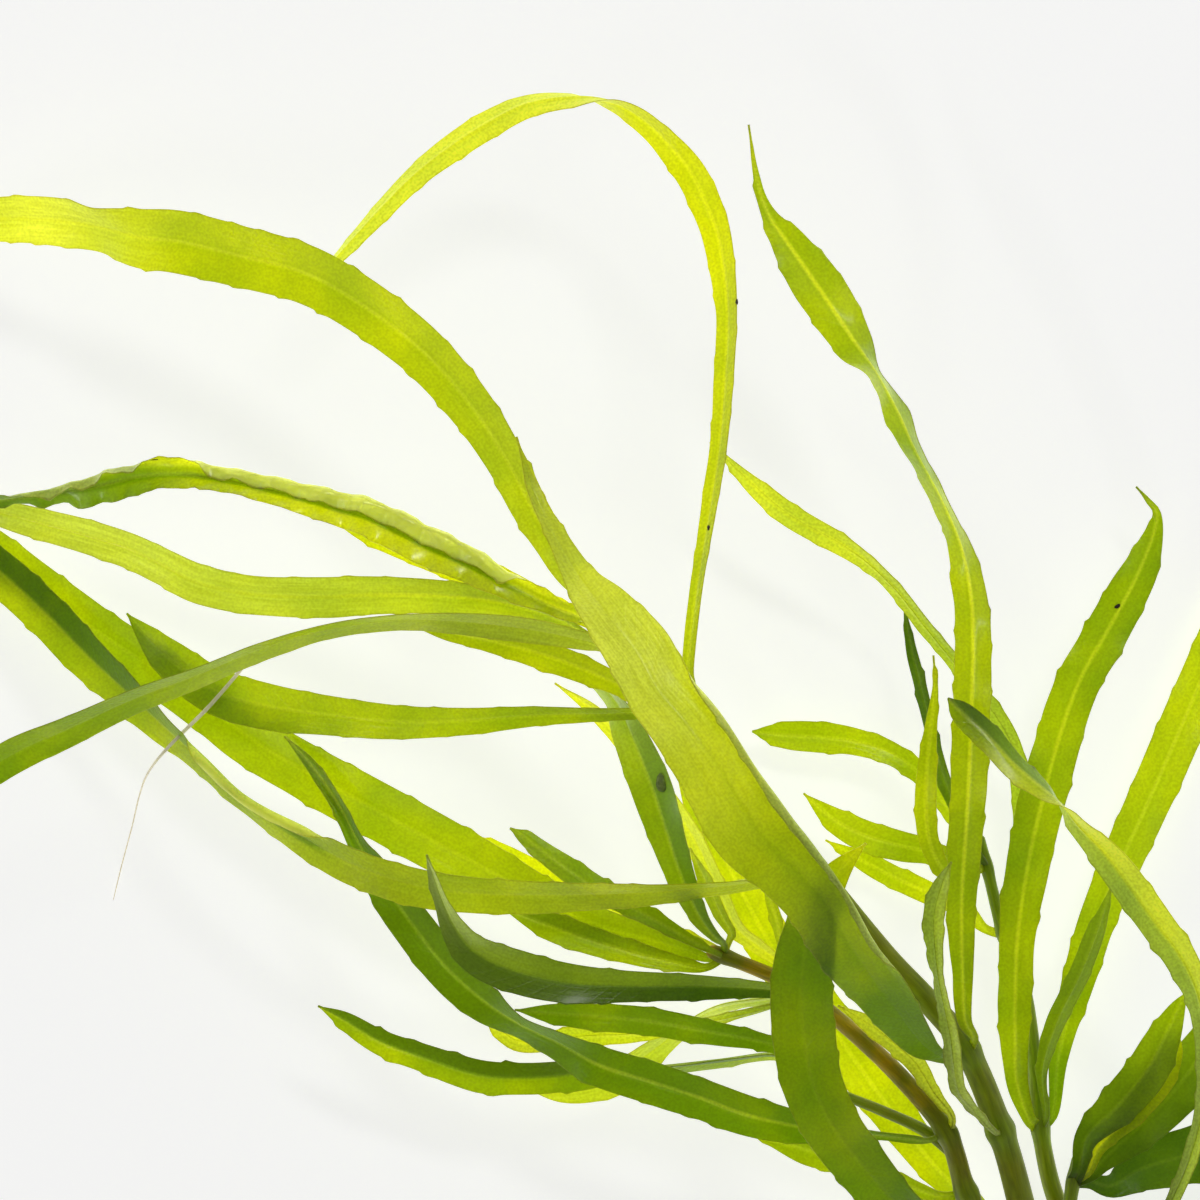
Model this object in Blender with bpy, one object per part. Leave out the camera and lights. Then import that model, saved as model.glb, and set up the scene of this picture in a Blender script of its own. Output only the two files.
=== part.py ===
"""A pogostemon, an aquarium stem plant, cut off at the foot of its stem and laid on a table.

One stem forks four times, and long ribbon leaves leave it in whorls. Lengths are in millimetres,
turned into metres where a mesh is made. Heights count from the table top. Plan positions are as
an eye straight above the plant sees them against a level plane, x to the right and y upwards
from the middle of what it sees.
"""

import math
from collections import namedtuple

import bmesh
import bpy
import numpy as np
from mathutils import Vector

MM = 0.001
FOOTPRINT_MIDDLE = Vector((8.98, -46.06, 0.0))
SIGHT_DISTANCE = 1000.0
SIGHT_PLANE_HEIGHT = 32.0

STEM_SIDES = 8
STEM_RING_SPACING = 6.0
STEM_RINGS_LEAST = 4
NODE_SWELLING = 0.12
NODE_SPREAD = 1.6
BRANCH_GAP = 0.6
BRANCH_ROOT_SHARE = 0.5

LEAF_RING_SPACING = 4.6
LEAF_RINGS_LEAST = 7
BLADE_LEAST_WIDTH = 0.6
MIDRIB_THICKNESS = 0.7
MIDRIB_AT_TIP = 0.35
BLADE_FOLD = 12.0
LEAF_GAP = 0.8
LEAF_RISE = 2.4
RISE_SHARE = 0.45
OUTWARD_SHARE = 0.6
BASE_NARROWING = 0.5

SAMPLES_PER_SPAN = 24
HEADING_STEP = 0.01

GREEN = (0.42, 0.56, 0.03, 1.0)
OLIVE = (0.24, 0.2, 0.05, 1.0)
ROUGHNESS = 0.45

Stem = namedtuple("Stem", "name foot_radius top_radius springs_from route")
Whorl = namedtuple("Whorl", "stem place")
Leaf = namedtuple("Leaf", "name whorl turn route")

# A stem's route runs from its foot to its growing tip. A branch springs from the side of the
# stem named, at the point of it that is nearest to the branch's own first point.
STEMS = (
    Stem("stem_main", 2.4, 1.2, None, [
        (79, -133, 2.1), (76, -125, 2.1), (71, -115, 5), (66, -103, 11), (63, -90, 17),
        (60, -79.5, 21), (55, -67.5, 26), (49, -60, 29), (42.5, -53, 31), (32.3, -40.3, 34),
        (21.8, -26.5, 37), (12.6, -15.6, 39), (2.6, -6, 41.5), (0.5, -4.3, 42)]),
    Stem("stem_left_branch", 1.7, 1.0, "stem_main", [
        (64.5, -98, 13.5), (58.5, -94, 16), (55, -89, 18.5), (52, -80, 22), (45, -71.5, 24),
        (37, -64, 26), (30, -58.5, 28), (25, -56, 29), (18.5, -53.4, 31), (17, -52.8, 31.3)]),
    Stem("stem_left_shoot", 0.95, 0.6, "stem_left_branch", [
        (53, -83, 20.5), (48.5, -79.5, 20.5), (42, -76.5, 22), (35, -73.5, 23.5), (30, -69.5, 24.5),
        (28, -67.5, 25)]),
    Stem("stem_right_branch", 1.6, 0.8, "stem_main", [
        (66, -101.5, 12), (69, -97.5, 14), (70, -93, 15), (71, -87, 16), (71.5, -84, 16.5)]),
    Stem("stem_back_branch", 1.6, 0.8, "stem_main", [
        (68, -107.5, 9), (71, -103, 7.5), (70, -95, 7), (67.5, -87, 7.5), (66, -79, 8),
        (65, -68, 8), (63.5, -58, 8.5), (60.5, -50, 9), (58, -40, 9.5), (57, -36, 10)]),
)

WHORLS = {
    "main_foot": Whorl("stem_main", (75.5, -124, 2.8)),
    "main_low": Whorl("stem_main", (71, -115, 5.5)),
    "main_fork": Whorl("stem_main", (67, -105.5, 10)),
    "main_0": Whorl("stem_main", (60, -79.5, 21)),
    "main_1": Whorl("stem_main", (55, -67.5, 26)),
    "main_2": Whorl("stem_main", (32.3, -40.3, 34)),
    "main_3": Whorl("stem_main", (12.6, -15.6, 39)),
    "main_top": Whorl("stem_main", (2.6, -6, 41.5)),
    "left_0": Whorl("stem_left_branch", (55, -89, 18.5)),
    "left_1": Whorl("stem_left_branch", (52, -80, 22)),
    "left_2": Whorl("stem_left_branch", (30, -58.5, 28)),
    "left_top": Whorl("stem_left_branch", (18.5, -53.4, 31)),
    "shoot_top": Whorl("stem_left_shoot", (30, -69.5, 24.5)),
    "right_0": Whorl("stem_right_branch", (70, -93, 15)),
    "right_top": Whorl("stem_right_branch", (71, -87, 16)),
    "back_1": Whorl("stem_back_branch", (66, -79, 8)),
    "back_2": Whorl("stem_back_branch", (60.5, -50, 9)),
    "back_top": Whorl("stem_back_branch", (58, -40, 9.5)),
}

# turn is where round the stem a leaf springs, in degrees: 0 on its upper side, 90 on its left
# looking towards the tip. Each point of a route gives x, y and height, the blade's width there,
# and how far the blade is rolled out of the flat, in degrees.
LEAVES = (
    Leaf("leaf_upright", "main_1", -35, [
        (54.8, -63, 30, 2.4, 30), (54.5, -57.8, 30.5, 3.2, 20), (54.3, -45, 31, 4.6, 10),
        (55.2, -30, 31.5, 5.5, 5), (55.8, -15, 32, 5.7, 5), (56, -6, 32.5, 5.6, 5),
        (55.6, 1.5, 33, 5.4, 25), (54.2, 8.3, 33.5, 5.3, 50), (51.4, 15, 34, 5.2, 66),
        (47.4, 22.5, 34.5, 5.2, 60), (45, 27.8, 35, 5.3, 50), (41.7, 34, 35.5, 5.5, 70),
        (38.4, 38.6, 36, 6.5, 30), (35.2, 43.3, 36, 7.4, 5), (31.6, 48.6, 36.5, 7.4, 0),
        (28.1, 53.6, 37, 5.4, -5), (25.2, 58, 37.5, 2.2, 0), (23.4, 63.8, 38, 1.1, 0),
        (22.3, 71.3, 39, 0, 0)]),
    Leaf("leaf_front_broad", "main_1", 60, [
        (50.3, -68, 32, 3, 30), (47.7, -65.9, 34, 5.4, 25), (43.2, -59.9, 40.5, 8.2, 20),
        (37.8, -52.5, 47, 10.2, 12), (33.2, -44.9, 52, 10.9, 5), (28.2, -39.2, 55, 11.8, 0),
        (23.1, -33.6, 57, 13.8, 0), (17.6, -24.6, 58.5, 12.8, 0), (13.1, -18.6, 58.5, 12.2, -15),
        (8.6, -13.5, 58, 11, -20), (5.3, -7.7, 57, 10.6, -20), (0.8, -1.7, 55.5, 8.4, -20),
        (-3, 3.2, 52, 5.6, -25), (-6.8, 9.8, 49.5, 3.4, -30), (-10.1, 16.5, 47.8, 2, -30),
        (-12.5, 24.5, 47, 0, -30)]),
    Leaf("leaf_twisted", "main_0", 10, [
        (55.8, -76, 29.5, 1.8, 30), (53.7, -72.8, 33, 2.6, 30), (52.7, -65.3, 35.2, 3.3, 40),
        (51.2, -57.8, 36.2, 3.2, 62), (50.4, -52.5, 36.8, 3.2, 40), (50.1, -47.3, 37.2, 3.4, 15),
        (51.2, -42.8, 37.5, 2.6, 15), (52.7, -39.3, 38.5, 0, 15)]),
    Leaf("leaf_long_left", "main_2", 60, [
        (28.5, -41.3, 37.3, 3, 60), (22.5, -42.3, 38.3, 4.4, 68), (15, -43.2, 39, 5, 60),
        (0, -44.1, 38.5, 5.6, 42), (-20, -44, 37, 6.1, 22), (-34, -41, 36, 6.4, 25),
        (-45, -35.3, 33, 6.5, 46), (-53, -30, 30.5, 6.5, 65), (-59.3, -24.3, 27.6, 6.6, 62),
        (-65.3, -19, 24.2, 6.7, 50), (-71, -13.8, 20.6, 6.8, 32), (-77, -8.3, 17, 6.9, 15),
        (-82.5, -2.7, 14, 6.9, 5), (-90, 4.2, 10.2, 6.6, 0), (-96.8, 9.8, 7, 4.6, 0),
        (-101.5, 13, 5.4, 0, 0)]),
    Leaf("leaf_hoop", "main_3", -50, [
        (13.3, -9.8, 42.8, 2.2, 35), (14.6, 1.5, 42, 2.6, 45), (16.5, 13.5, 40.5, 3.1, 42),
        (17.9, 22.5, 40, 3.4, 40), (18.8, 33, 39, 3.8, 40), (19.2, 43.5, 38, 4.2, 40),
        (18, 53.3, 37, 4.8, 28), (16, 59.3, 36, 5, 15), (13.4, 64.5, 35.3, 5, 20),
        (9.3, 69.5, 34.5, 4.9, 42), (5.4, 72.8, 34, 4.7, 52), (1.5, 74.7, 33.5, 4.6, 76),
        (-3.8, 75.3, 33, 4.5, 118), (-10.5, 74.4, 32, 4.5, 143), (-16.5, 71.6, 31, 4.6, 163),
        (-22.5, 67.8, 30, 4.5, 160), (-27.8, 63.6, 29, 4.2, 150), (-33, 58.4, 28, 3.8, 142),
        (-39.5, 51.3, 26.5, 2.8, 130), (-43.8, 47, 25, 0, 130)]),
    Leaf("leaf_blade", "main_3", 110, [
        (7.5, -16.8, 37, 2.6, 50), (0, -17, 36, 2.8, 45), (-10, -17.3, 35.3, 3.6, 30),
        (-20, -18, 34, 4.6, 25), (-30, -18.2, 31.8, 5.4, 15), (-40, -17.3, 28.6, 6.2, 10),
        (-49.5, -16, 24.8, 7.2, 5), (-57.8, -13.6, 21.3, 7.2, 0), (-64.5, -8.8, 18.8, 5.8, 0),
        (-68.3, -5, 18, 3, 0), (-71, -2, 17.4, 0, 0)]),
    Leaf("leaf_low_left", "main_3", 45, [
        (7.5, -15, 42, 2.6, 20), (0, -11.4, 42.5, 4, 20), (-6, -9, 43, 4.5, 15),
        (-12, -7.2, 43, 4.3, 10), (-18, -5.6, 43, 3.6, 10), (-24, -4.2, 43, 2.8, 10),
        (-30, -3, 43, 0, 10)]),
    Leaf("leaf_arc", "main_top", -84, [
        (-4.4, 3.2, 44.5, 4.1, 50), (-7.4, 8.8, 44.5, 5.3, 20), (-10.4, 14, 44.3, 6, 20),
        (-13.7, 20.4, 44, 6.3, 18), (-18.2, 27.6, 43.3, 7, 15), (-23.6, 34.3, 42.5, 7.7, 15),
        (-29.1, 39.5, 41.5, 8.1, 12), (-36.8, 45, 40, 8.5, 10), (-44.5, 49.1, 38, 9, 10),
        (-54, 51.6, 35.5, 9.4, 8), (-63, 53.7, 32.5, 9.6, 5), (-69, 54.4, 30.5, 9.2, 15),
        (-75, 56, 28, 8.3, 42), (-81, 56.9, 25.5, 7.8, 20), (-90, 57.2, 21, 7, 15),
        (-97.5, 55.8, 17, 5, 10), (-103.5, 53.3, 13, 0, 10)]),
    Leaf("leaf_curled", "main_top", -130, [
        (-5.5, -1.6, 40.4, 3, -20), (-14, 2.3, 40.3, 4.8, -15), (-20, 5.6, 40, 6.4, -15),
        (-26, 8.3, 39.5, 7.1, -15), (-34, 12.2, 38.5, 6.8, -18), (-40, 14, 37.5, 6.1, -20),
        (-49.5, 16.5, 36, 5, -25), (-56, 17.9, 34.5, 4.7, -30), (-63, 18.8, 33.2, 5.4, -30),
        (-69, 18.5, 32, 5.9, -20), (-74, 17.4, 31, 6, 0), (-79, 16.5, 30, 5, 25),
        (-84, 15.8, 29, 3.4, 40), (-90, 15, 27.8, 2.2, 40), (-96, 14, 26.6, 0, 40)]),
    Leaf("leaf_under", "main_top", 175, [
        (-5, -1.6, 37, 2.2, 0), (-12, 1.5, 35.8, 4, 0), (-18, 3.8, 35, 4.8, 0), (-24, 6, 34, 4.6, 0),
        (-30, 8.3, 33, 4, 0), (-35.3, 10.2, 32, 3, 0), (-41, 12.6, 31, 0, 0)]),
    Leaf("leaf_wavy", "main_top", 125, [
        (-6, -3, 39.6, 2.2, 30), (-14, -0.5, 38, 4, 20), (-23, 0.6, 36.8, 5.2, 15),
        (-34, 0.8, 35.5, 6, 10), (-42, 0.5, 34.5, 6.4, 10), (-52, 0.9, 33, 6.2, 15),
        (-60, 2.5, 31.5, 6.2, 10), (-65.3, 5.1, 30.5, 6, 20), (-70.5, 7.6, 29.3, 5.8, 20),
        (-77.3, 9.7, 27.6, 5.4, 10), (-83.3, 11.3, 26, 5, 10), (-90, 13.2, 24.5, 4.4, 20),
        (-96, 14.6, 23, 3.2, 20), (-101.3, 15, 21, 0, 20)]),
    Leaf("leaf_strap", "main_top", 40, [
        (-1.5, -6.2, 46.3, 3, 30), (-10, -4.5, 48, 4.3, 30), (-20, -3.3, 49, 4.8, 46),
        (-30, -2.9, 49.5, 5, 62), (-40.5, -4.2, 49.5, 5.2, 64), (-50, -7, 49, 5.4, 61),
        (-60, -11, 48, 5.6, 57), (-70, -14.8, 46.5, 5.8, 51), (-80, -19.4, 44.5, 6, 42),
        (-87, -22.6, 42.8, 6, 30), (-94.5, -27, 40.5, 5.6, 20), (-102, -32.4, 38, 3.6, 10),
        (-106.5, -36.8, 36, 0, 10)]),
    Leaf("leaf_left_long", "left_1", 75, [
        (47, -80.9, 24.5, 1.4, 20), (42, -80.3, 26, 1.6, 35), (37.5, -80, 27, 3.4, 35),
        (30, -79, 28.5, 5.2, 15), (22, -77.2, 29.8, 6.4, 10), (15, -74.6, 30.5, 6.6, 15),
        (7.5, -72.2, 30.5, 6.7, 10), (0, -69.8, 30, 6.6, 15), (-6, -66.5, 29.5, 6.4, 45),
        (-12, -63.6, 29, 6.2, 55), (-17.6, -60, 29, 6.6, 25), (-23.3, -54.8, 29, 6.8, 12),
        (-28.4, -48.3, 29, 6.6, 12), (-32.4, -42.4, 28, 6, 24), (-36, -36.6, 26.8, 4.4, 50),
        (-39, -30.8, 25.8, 3.4, 50), (-43.2, -24.8, 24.6, 2.2, 30), (-47.3, -20.5, 23.7, 0, 20)]),
    Leaf("leaf_left_short", "left_1", -60, [
        (50, -73.8, 25, 2, 0), (47.3, -69.5, 27, 3, 0), (43.5, -66, 29, 3.1, 0),
        (39.8, -63.3, 30.5, 2.5, 0), (35.7, -60.8, 32, 0, 0)]),
    Leaf("leaf_shoot_upper", "shoot_top", 15, [
        (25.5, -66.6, 27.5, 2.6, 10), (15, -64.5, 30.5, 4, 10), (6, -63, 32.5, 4.5, 10),
        (-1.5, -62.4, 33.5, 4.1, 10), (-7.5, -62, 34, 3, 10), (-12.8, -61.5, 34.5, 0, 10)]),
    Leaf("leaf_shoot_lower", "shoot_top", 150, [
        (25.5, -68.4, 22.5, 2, 60), (18, -69.3, 21.5, 3.4, 68), (9, -70.2, 20.5, 4.4, 69),
        (1.5, -70.6, 19.5, 5, 44), (-3.8, -71.1, 18.8, 5.2, 22), (-10.5, -71.7, 18, 5.2, 12),
        (-18, -71.3, 18, 5.2, 10), (-26.3, -68.7, 18.3, 4.6, 10), (-33, -66.2, 18.8, 4, 10),
        (-38.3, -63, 19.5, 2.8, 10), (-42.3, -60.9, 20, 0, 10)]),
    Leaf("leaf_grey", "left_2", 115, [
        (24, -61.2, 24.5, 1.6, 50), (15, -63.3, 23.8, 2.5, 50), (6, -64.8, 23.5, 3, 30),
        (-3, -65.4, 23.5, 3.1, 10), (-8.3, -66.3, 23, 3.1, 0), (-12.8, -66, 22.5, 3, 0),
        (-15.8, -63.3, 22.5, 2.4, 0), (-17.7, -60.8, 22.5, 0, 0)]),
    Leaf("leaf_hook", "left_2", 30, [
        (25.5, -58.4, 32.5, 2.8, 30), (15, -57.9, 35.5, 4.2, 20), (3, -57.8, 37.5, 5.2, 10),
        (-6, -57.2, 39, 6.4, 5), (-13.5, -55.2, 40.5, 7, 10), (-18.8, -52.5, 42, 6.4, 20),
        (-21.8, -48.8, 44, 4.6, 30), (-23.6, -45, 46, 3, 40), (-24.9, -41.3, 48, 2, 45),
        (-26, -38.3, 50, 0, 45)]),
    Leaf("leaf_rising", "left_2", -120, [
        (24, -52, 27, 3, 40), (20.3, -48.8, 26.5, 3.6, 40), (16.8, -41.3, 26, 4.2, 40),
        (13.2, -34.2, 25.5, 4.4, 40), (6.8, -25.5, 25, 4, 40), (0, -17.3, 24.5, 2.8, 40),
        (-6.8, -12.5, 24, 0, 40)]),
    Leaf("leaf_sliver", "left_2", -68, [
        (27.5, -52, 30, 1.6, 30), (26.6, -48, 30.8, 2, 30), (25.6, -45, 31.5, 1.6, 30),
        (24.5, -42, 32.2, 0, 30)]),
    Leaf("leaf_drooping", "left_2", 165, [
        (25.2, -59.9, 24, 2.4, 60), (18.3, -61, 20.5, 3.4, 65), (13.5, -63.3, 16.5, 4.4, 60),
        (7.5, -67.8, 12.5, 5, 35), (1.5, -72.2, 10.5, 5, 20), (-5.3, -73.8, 9.5, 3.6, 20),
        (-11.3, -73.2, 9, 0, 20)]),
    Leaf("leaf_wide_left", "left_top", 145, [
        (13, -52.6, 29.5, 2.4, 0), (9, -51.3, 29, 4, 5), (0, -48.8, 28, 5.6, 5),
        (-9, -44.8, 27, 7, 5), (-18, -39.8, 26, 8.2, 5), (-27, -35, 24.8, 8.8, 5),
        (-36, -30.1, 23.5, 8.8, 5), (-45, -25.2, 22, 8.6, 5), (-52, -21, 20.5, 8.4, 5),
        (-58.8, -16, 18.8, 8, 5), (-66, -10.8, 16.8, 7.8, 5), (-73.5, -6, 14.5, 7.6, 5),
        (-81, -0.6, 11.5, 7.3, 0), (-90, 6.4, 7.5, 7, 0), (-97.5, 12, 3.2, 6, 0),
        (-103.5, 18, -0.8, 3.4, 0), (-106.5, 20.3, -1, 0, 0)]),
    Leaf("leaf_below_wide", "left_top", -162, [
        (13, -50.5, 26, 2, 0), (9, -49.2, 24.5, 3, 0), (0, -45.8, 22.5, 4.2, 0),
        (-9, -41.7, 20.8, 4.8, 0), (-16.5, -37.8, 19.5, 4, 0), (-24, -34.5, 18.5, 0, 0)]),
    Leaf("leaf_between", "left_top", 97, [
        (13.5, -54.9, 30.3, 2, 0), (6, -53.2, 30.7, 3.6, 0), (-1.5, -51, 30.3, 4.4, 0),
        (-8.3, -48.6, 29.6, 4, 0), (-15, -46, 28.9, 0, 0)]),
    Leaf("leaf_pointed", "left_top", 0, [
        (14, -51.3, 34, 1.6, -20), (6, -46.8, 34.5, 3.2, -20), (-1.5, -42.8, 34, 4, -20),
        (-7.5, -38.6, 33.5, 3.5, -20), (-11.3, -35.7, 33, 2.3, -20), (-13.5, -34.2, 32.5, 0, -20)]),
    Leaf("leaf_straight", "left_top", -50, [
        (17.2, -50.4, 34.5, 1.8, 30), (15, -47.5, 35.5, 3, 25), (12.3, -41.6, 36, 4.6, 20),
        (10, -34.8, 36, 5.7, 15), (7.8, -28, 35.5, 6.6, 15), (4.7, -20.3, 34, 6, 30),
        (2.3, -15, 32.5, 4.8, 58), (-2, -11, 31.2, 3.4, 60), (-8, -8.2, 30.2, 0, 40)]),
    Leaf("leaf_inner", "left_top", -105, [
        (19.8, -50, 30.5, 1.6, 40), (18.3, -47.3, 30.3, 2.4, 40), (15.8, -42, 30, 2.8, 40),
        (13.5, -37.2, 29.5, 0, 40)]),
    Leaf("leaf_front_low", "main_fork", 50, [
        (55.5, -100.5, 19.5, 4, 20), (51, -96.8, 24, 6, 20), (47.3, -93.3, 27.5, 7, 15),
        (43.2, -89.3, 31, 7.8, 15), (38.7, -84, 34.5, 8.6, 10), (34.8, -78.8, 37.5, 9, 5),
        (31.7, -72, 40, 9.4, 0), (30.5, -64.5, 41.7, 9.7, 0), (30.2, -57.8, 43.5, 9.5, 0),
        (30.9, -51.8, 46, 8.6, 0), (32.7, -45.8, 48.8, 6.6, 0), (35.7, -40.8, 50.5, 4, 0),
        (39.9, -36.5, 51, 0, 0)]),
    Leaf("leaf_behind", "main_fork", 155, [
        (57.8, -93, 9, 3.6, 0), (49.5, -84, 9.5, 5.6, 0), (42, -74.3, 10, 7, 0),
        (34.5, -63.8, 11, 7.5, 0), (27, -54, 12.5, 7.6, 0), (20.3, -42, 14, 7, 0),
        (15, -30.8, 15.5, 5, 0), (10.8, -22.2, 17, 0, 0)]),
    Leaf("leaf_left_stub", "left_0", 100, [
        (48, -88.5, 17.5, 2.4, 10), (37.5, -84.5, 19, 4, 10), (30, -82.2, 20.5, 4.2, 10),
        (22.5, -80, 22, 0, 10)]),
    Leaf("leaf_back_tall", "back_1", 40, [
        (62.5, -72, 12.5, 3.6, 10), (62.3, -66, 13, 4.6, 10), (62.3, -60, 13.3, 5.2, 10),
        (62.7, -50, 13.5, 5.8, 10), (64.5, -38.3, 13.5, 7, 10), (66.6, -29.3, 13.5, 7.3, 10),
        (69, -20.3, 13.3, 7.2, 10), (72, -12, 13, 6.8, 10), (76.2, -4.5, 12.5, 7, 5),
        (80.1, 2.7, 12, 6, 5), (82.5, 8.3, 11.5, 4, 5), (83.6, 12.8, 11.3, 1.5, 5),
        (82.2, 15, 11, 0.8, 5), (80.4, 17, 11, 0, 5)]),
    Leaf("leaf_back_outer", "back_1", -100, [
        (68.8, -68.5, 8.3, 3, 0), (71.3, -58.5, 8, 5, 0), (74.3, -48.8, 7.5, 5.8, 0),
        (77.7, -40.2, 7, 6.4, 0), (81.8, -31.2, 6, 7, 0), (86.3, -21, 4.8, 7.2, 0),
        (90.8, -10.5, 3.2, 7, 0), (95.3, 0, 1.6, 6.4, 0), (99.3, 9, 0, 4, 0), (102, 15, 0, 0, 0)]),
    Leaf("leaf_back_folded", "back_1", -30, [
        (66.4, -70.5, 12.6, 2.2, 40), (68.7, -63, 15, 3.6, 40), (72, -56.3, 16.3, 3.8, 40),
        (74.7, -49.5, 17.3, 3.2, 40), (76.8, -42.8, 18, 0, 40)]),
    Leaf("leaf_back_sweep", "back_2", -100, [
        (63, -41.5, 8, 2, 10), (63.3, -30, 9.5, 3, 10), (61.8, -21.8, 11.3, 3, 10),
        (57.8, -15, 13, 3, 20), (53.3, -9.3, 14.5, 3, 40), (48.8, -3.8, 16, 3, 45),
        (44.6, 1.5, 17, 3, 45), (40.2, 5.7, 18, 3.2, 40), (35.4, 8.9, 18.5, 3.6, 25),
        (29.1, 12.3, 19, 3.8, 10), (24.6, 15.8, 19.5, 3.2, 10), (19.5, 20.7, 20, 1.4, 30),
        (16.5, 23.7, 20, 0, 30)]),
    Leaf("leaf_back_low", "back_2", 110, [
        (54.8, -46.3, 6, 2.5, 10), (49.5, -44, 4.8, 3.6, 0), (44.3, -41.7, 3.8, 3.6, 0),
        (39.3, -39, 3, 3, 0), (33.8, -36, 2.2, 0, 0)]),
    Leaf("leaf_back_dark", "back_top", 0, [
        (54.6, -34.5, 12, 1.6, 30), (51.3, -25.8, 13.3, 2.4, 30), (49.7, -19.5, 13.6, 2.3, 30),
        (48, -12.3, 13.6, 2.1, 30), (46.5, -6, 13.2, 1.6, 30), (45.5, 0, 12.7, 0, 30)]),
    Leaf("leaf_back_curved", "back_top", 52, [
        (54.3, -42, 14, 2, 10), (51.3, -40.2, 16, 2.8, 10), (49.4, -36, 18, 3.2, 10),
        (48.9, -30.8, 19.5, 3.3, 10), (49.1, -24.8, 20.5, 3, 10), (49.7, -18.8, 21, 2, 10),
        (50.3, -13.5, 21, 0.9, 10), (50, -8.3, 21, 0, 10)]),
    Leaf("leaf_back_flat", "back_top", 160, [
        (54.8, -35, 6.8, 2, 0), (51.3, -30, 7, 3, 0), (47.7, -25.8, 7, 3.3, 0),
        (43.2, -22.8, 6.8, 3.6, 0), (38, -21.2, 6.5, 4.4, 0), (33, -20.6, 6, 4.9, 0),
        (28.2, -20.3, 5.5, 4.3, 0), (24.8, -20, 5.2, 2.3, 0), (22.8, -19.7, 5, 0, 0)]),
    Leaf("leaf_back_shade", "back_top", 105, [
        (53.7, -39.8, 9.5, 2.4, 10), (49.5, -37.8, 9.8, 4, 10), (45, -36.8, 9.8, 4.8, 10),
        (39.8, -35.3, 9.5, 5, 10), (35.3, -33, 9, 4, 10), (30.5, -29, 8.5, 0, 10)]),
    Leaf("leaf_right_upper", "right_top", -10, [
        (73, -80.6, 19, 3.8, 5), (77.3, -76.2, 20.5, 6, 5), (81.6, -71.2, 21.5, 6.6, 5),
        (84.3, -66.2, 22.3, 5.6, 5), (86.6, -61.3, 23, 2.6, 5), (88, -58.8, 23.3, 0, 5)]),
    Leaf("leaf_right_inner", "right_top", -50, [
        (75, -82, 18.3, 2.2, 0), (79.5, -77.4, 18.8, 3.8, 0), (83.3, -72.2, 19.4, 5.2, 0),
        (85.6, -67.6, 20, 4, 0), (86.5, -64.2, 20.4, 0, 0)]),
    Leaf("leaf_right_outer", "right_top", -85, [
        (75.5, -84, 16.3, 3.6, 5), (79.5, -80.2, 16.5, 6.6, 5), (84.3, -75.6, 16.2, 8, 5),
        (88.2, -71, 15.6, 8, 5), (91.6, -66, 15, 6.6, 5), (96.4, -60, 14.2, 4, 5),
        (100.5, -55.8, 13.5, 0, 5)]),
    Leaf("leaf_right_low", "right_top", -125, [
        (76.8, -87.8, 12.5, 4, 0), (81, -85.4, 10.6, 7, 0), (86, -83.8, 8.6, 8.6, 0),
        (92, -82.6, 6.2, 8.8, 0), (99, -81.4, 3.6, 7, 0), (107, -81, 0.4, 3.6, 0),
        (112, -81.6, 0, 0, 0)]),
    Leaf("leaf_right_under", "right_0", -120, [
        (77, -93.6, 12.5, 4, 0), (83, -93.6, 11.3, 6.4, 0), (91, -95, 9.8, 6.6, 0),
        (100.5, -98, 8, 0, 0)]),
    Leaf("leaf_right_climbing", "right_0", -66, [
        (79, -94.8, 17, 2.4, 40), (84, -93, 20, 2.6, 45), (87.5, -87, 23, 3, 50),
        (90, -79.5, 26, 3.5, 50), (91.2, -72, 28.5, 4, 50), (91, -64.5, 30.3, 4.6, 44),
        (89.6, -58.5, 31.7, 5, 38), (87, -53.3, 33, 5.2, 20), (83.3, -48.3, 34, 5.4, 10),
        (79.5, -43, 35, 5.4, 5), (75.8, -38, 35.8, 5, 25), (72, -33.9, 36.3, 4.6, 53),
        (69.9, -31.2, 36.2, 4.4, 80), (66.8, -28.5, 36, 4.4, 130), (62.3, -24.8, 35.6, 4.4, 147),
        (58.5, -20.7, 35.2, 4.4, 160), (55.5, -18, 34.9, 4.2, 165), (53.6, -16.2, 35, 3, 165),
        (52.2, -14.7, 35.2, 0, 165)]),
    Leaf("leaf_foot_left", "main_low", 85, [
        (62, -119, 7.5, 3.2, 0), (54, -123.5, 6.5, 5, 0), (44, -128, 4.5, 6, 0),
        (34, -130.5, 2.2, 5, 0), (26, -131, 0, 3, 0), (20, -130.5, 0, 0, 0)]),
    Leaf("leaf_foot_right", "main_low", -80, [
        (80, -111.5, 6.8, 3.4, 0), (90, -108.5, 5.5, 5.6, 0), (102, -107.5, 3.4, 6.4, 0),
        (112, -108.5, 1.2, 5, 0), (119, -110, 0, 2.6, 0), (124, -111.5, 0, 0, 0)]),
    Leaf("leaf_foot_over", "main_fork", 100, [
        (58, -108, 13, 3, 0), (48, -111.5, 14, 5.6, 0), (36, -113.3, 13.5, 6.2, 5),
        (25, -111.5, 11.8, 4.4, 10), (15, -107, 9, 0, 10)]),
    Leaf("leaf_foot_trailing", "main_foot", -70, [
        (85, -128.5, 4.8, 3.2, 0), (91, -134, 4.2, 4.8, 0), (97.5, -142, 2.6, 5.6, 0),
        (101, -149, 0.8, 4.6, 0), (103, -155, 0, 2.4, 0), (104, -160, 0, 0, 0)]),
    Leaf("leaf_foot_back", "main_foot", 75, [
        (67.5, -133, 5.2, 3.2, 0), (62, -139, 4.6, 4.8, 0), (57, -147, 2.8, 5.4, 0),
        (54, -154, 0.8, 4.4, 0), (52.5, -159, 0, 2.2, 0), (52, -163, 0, 0, 0)]),
)


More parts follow.
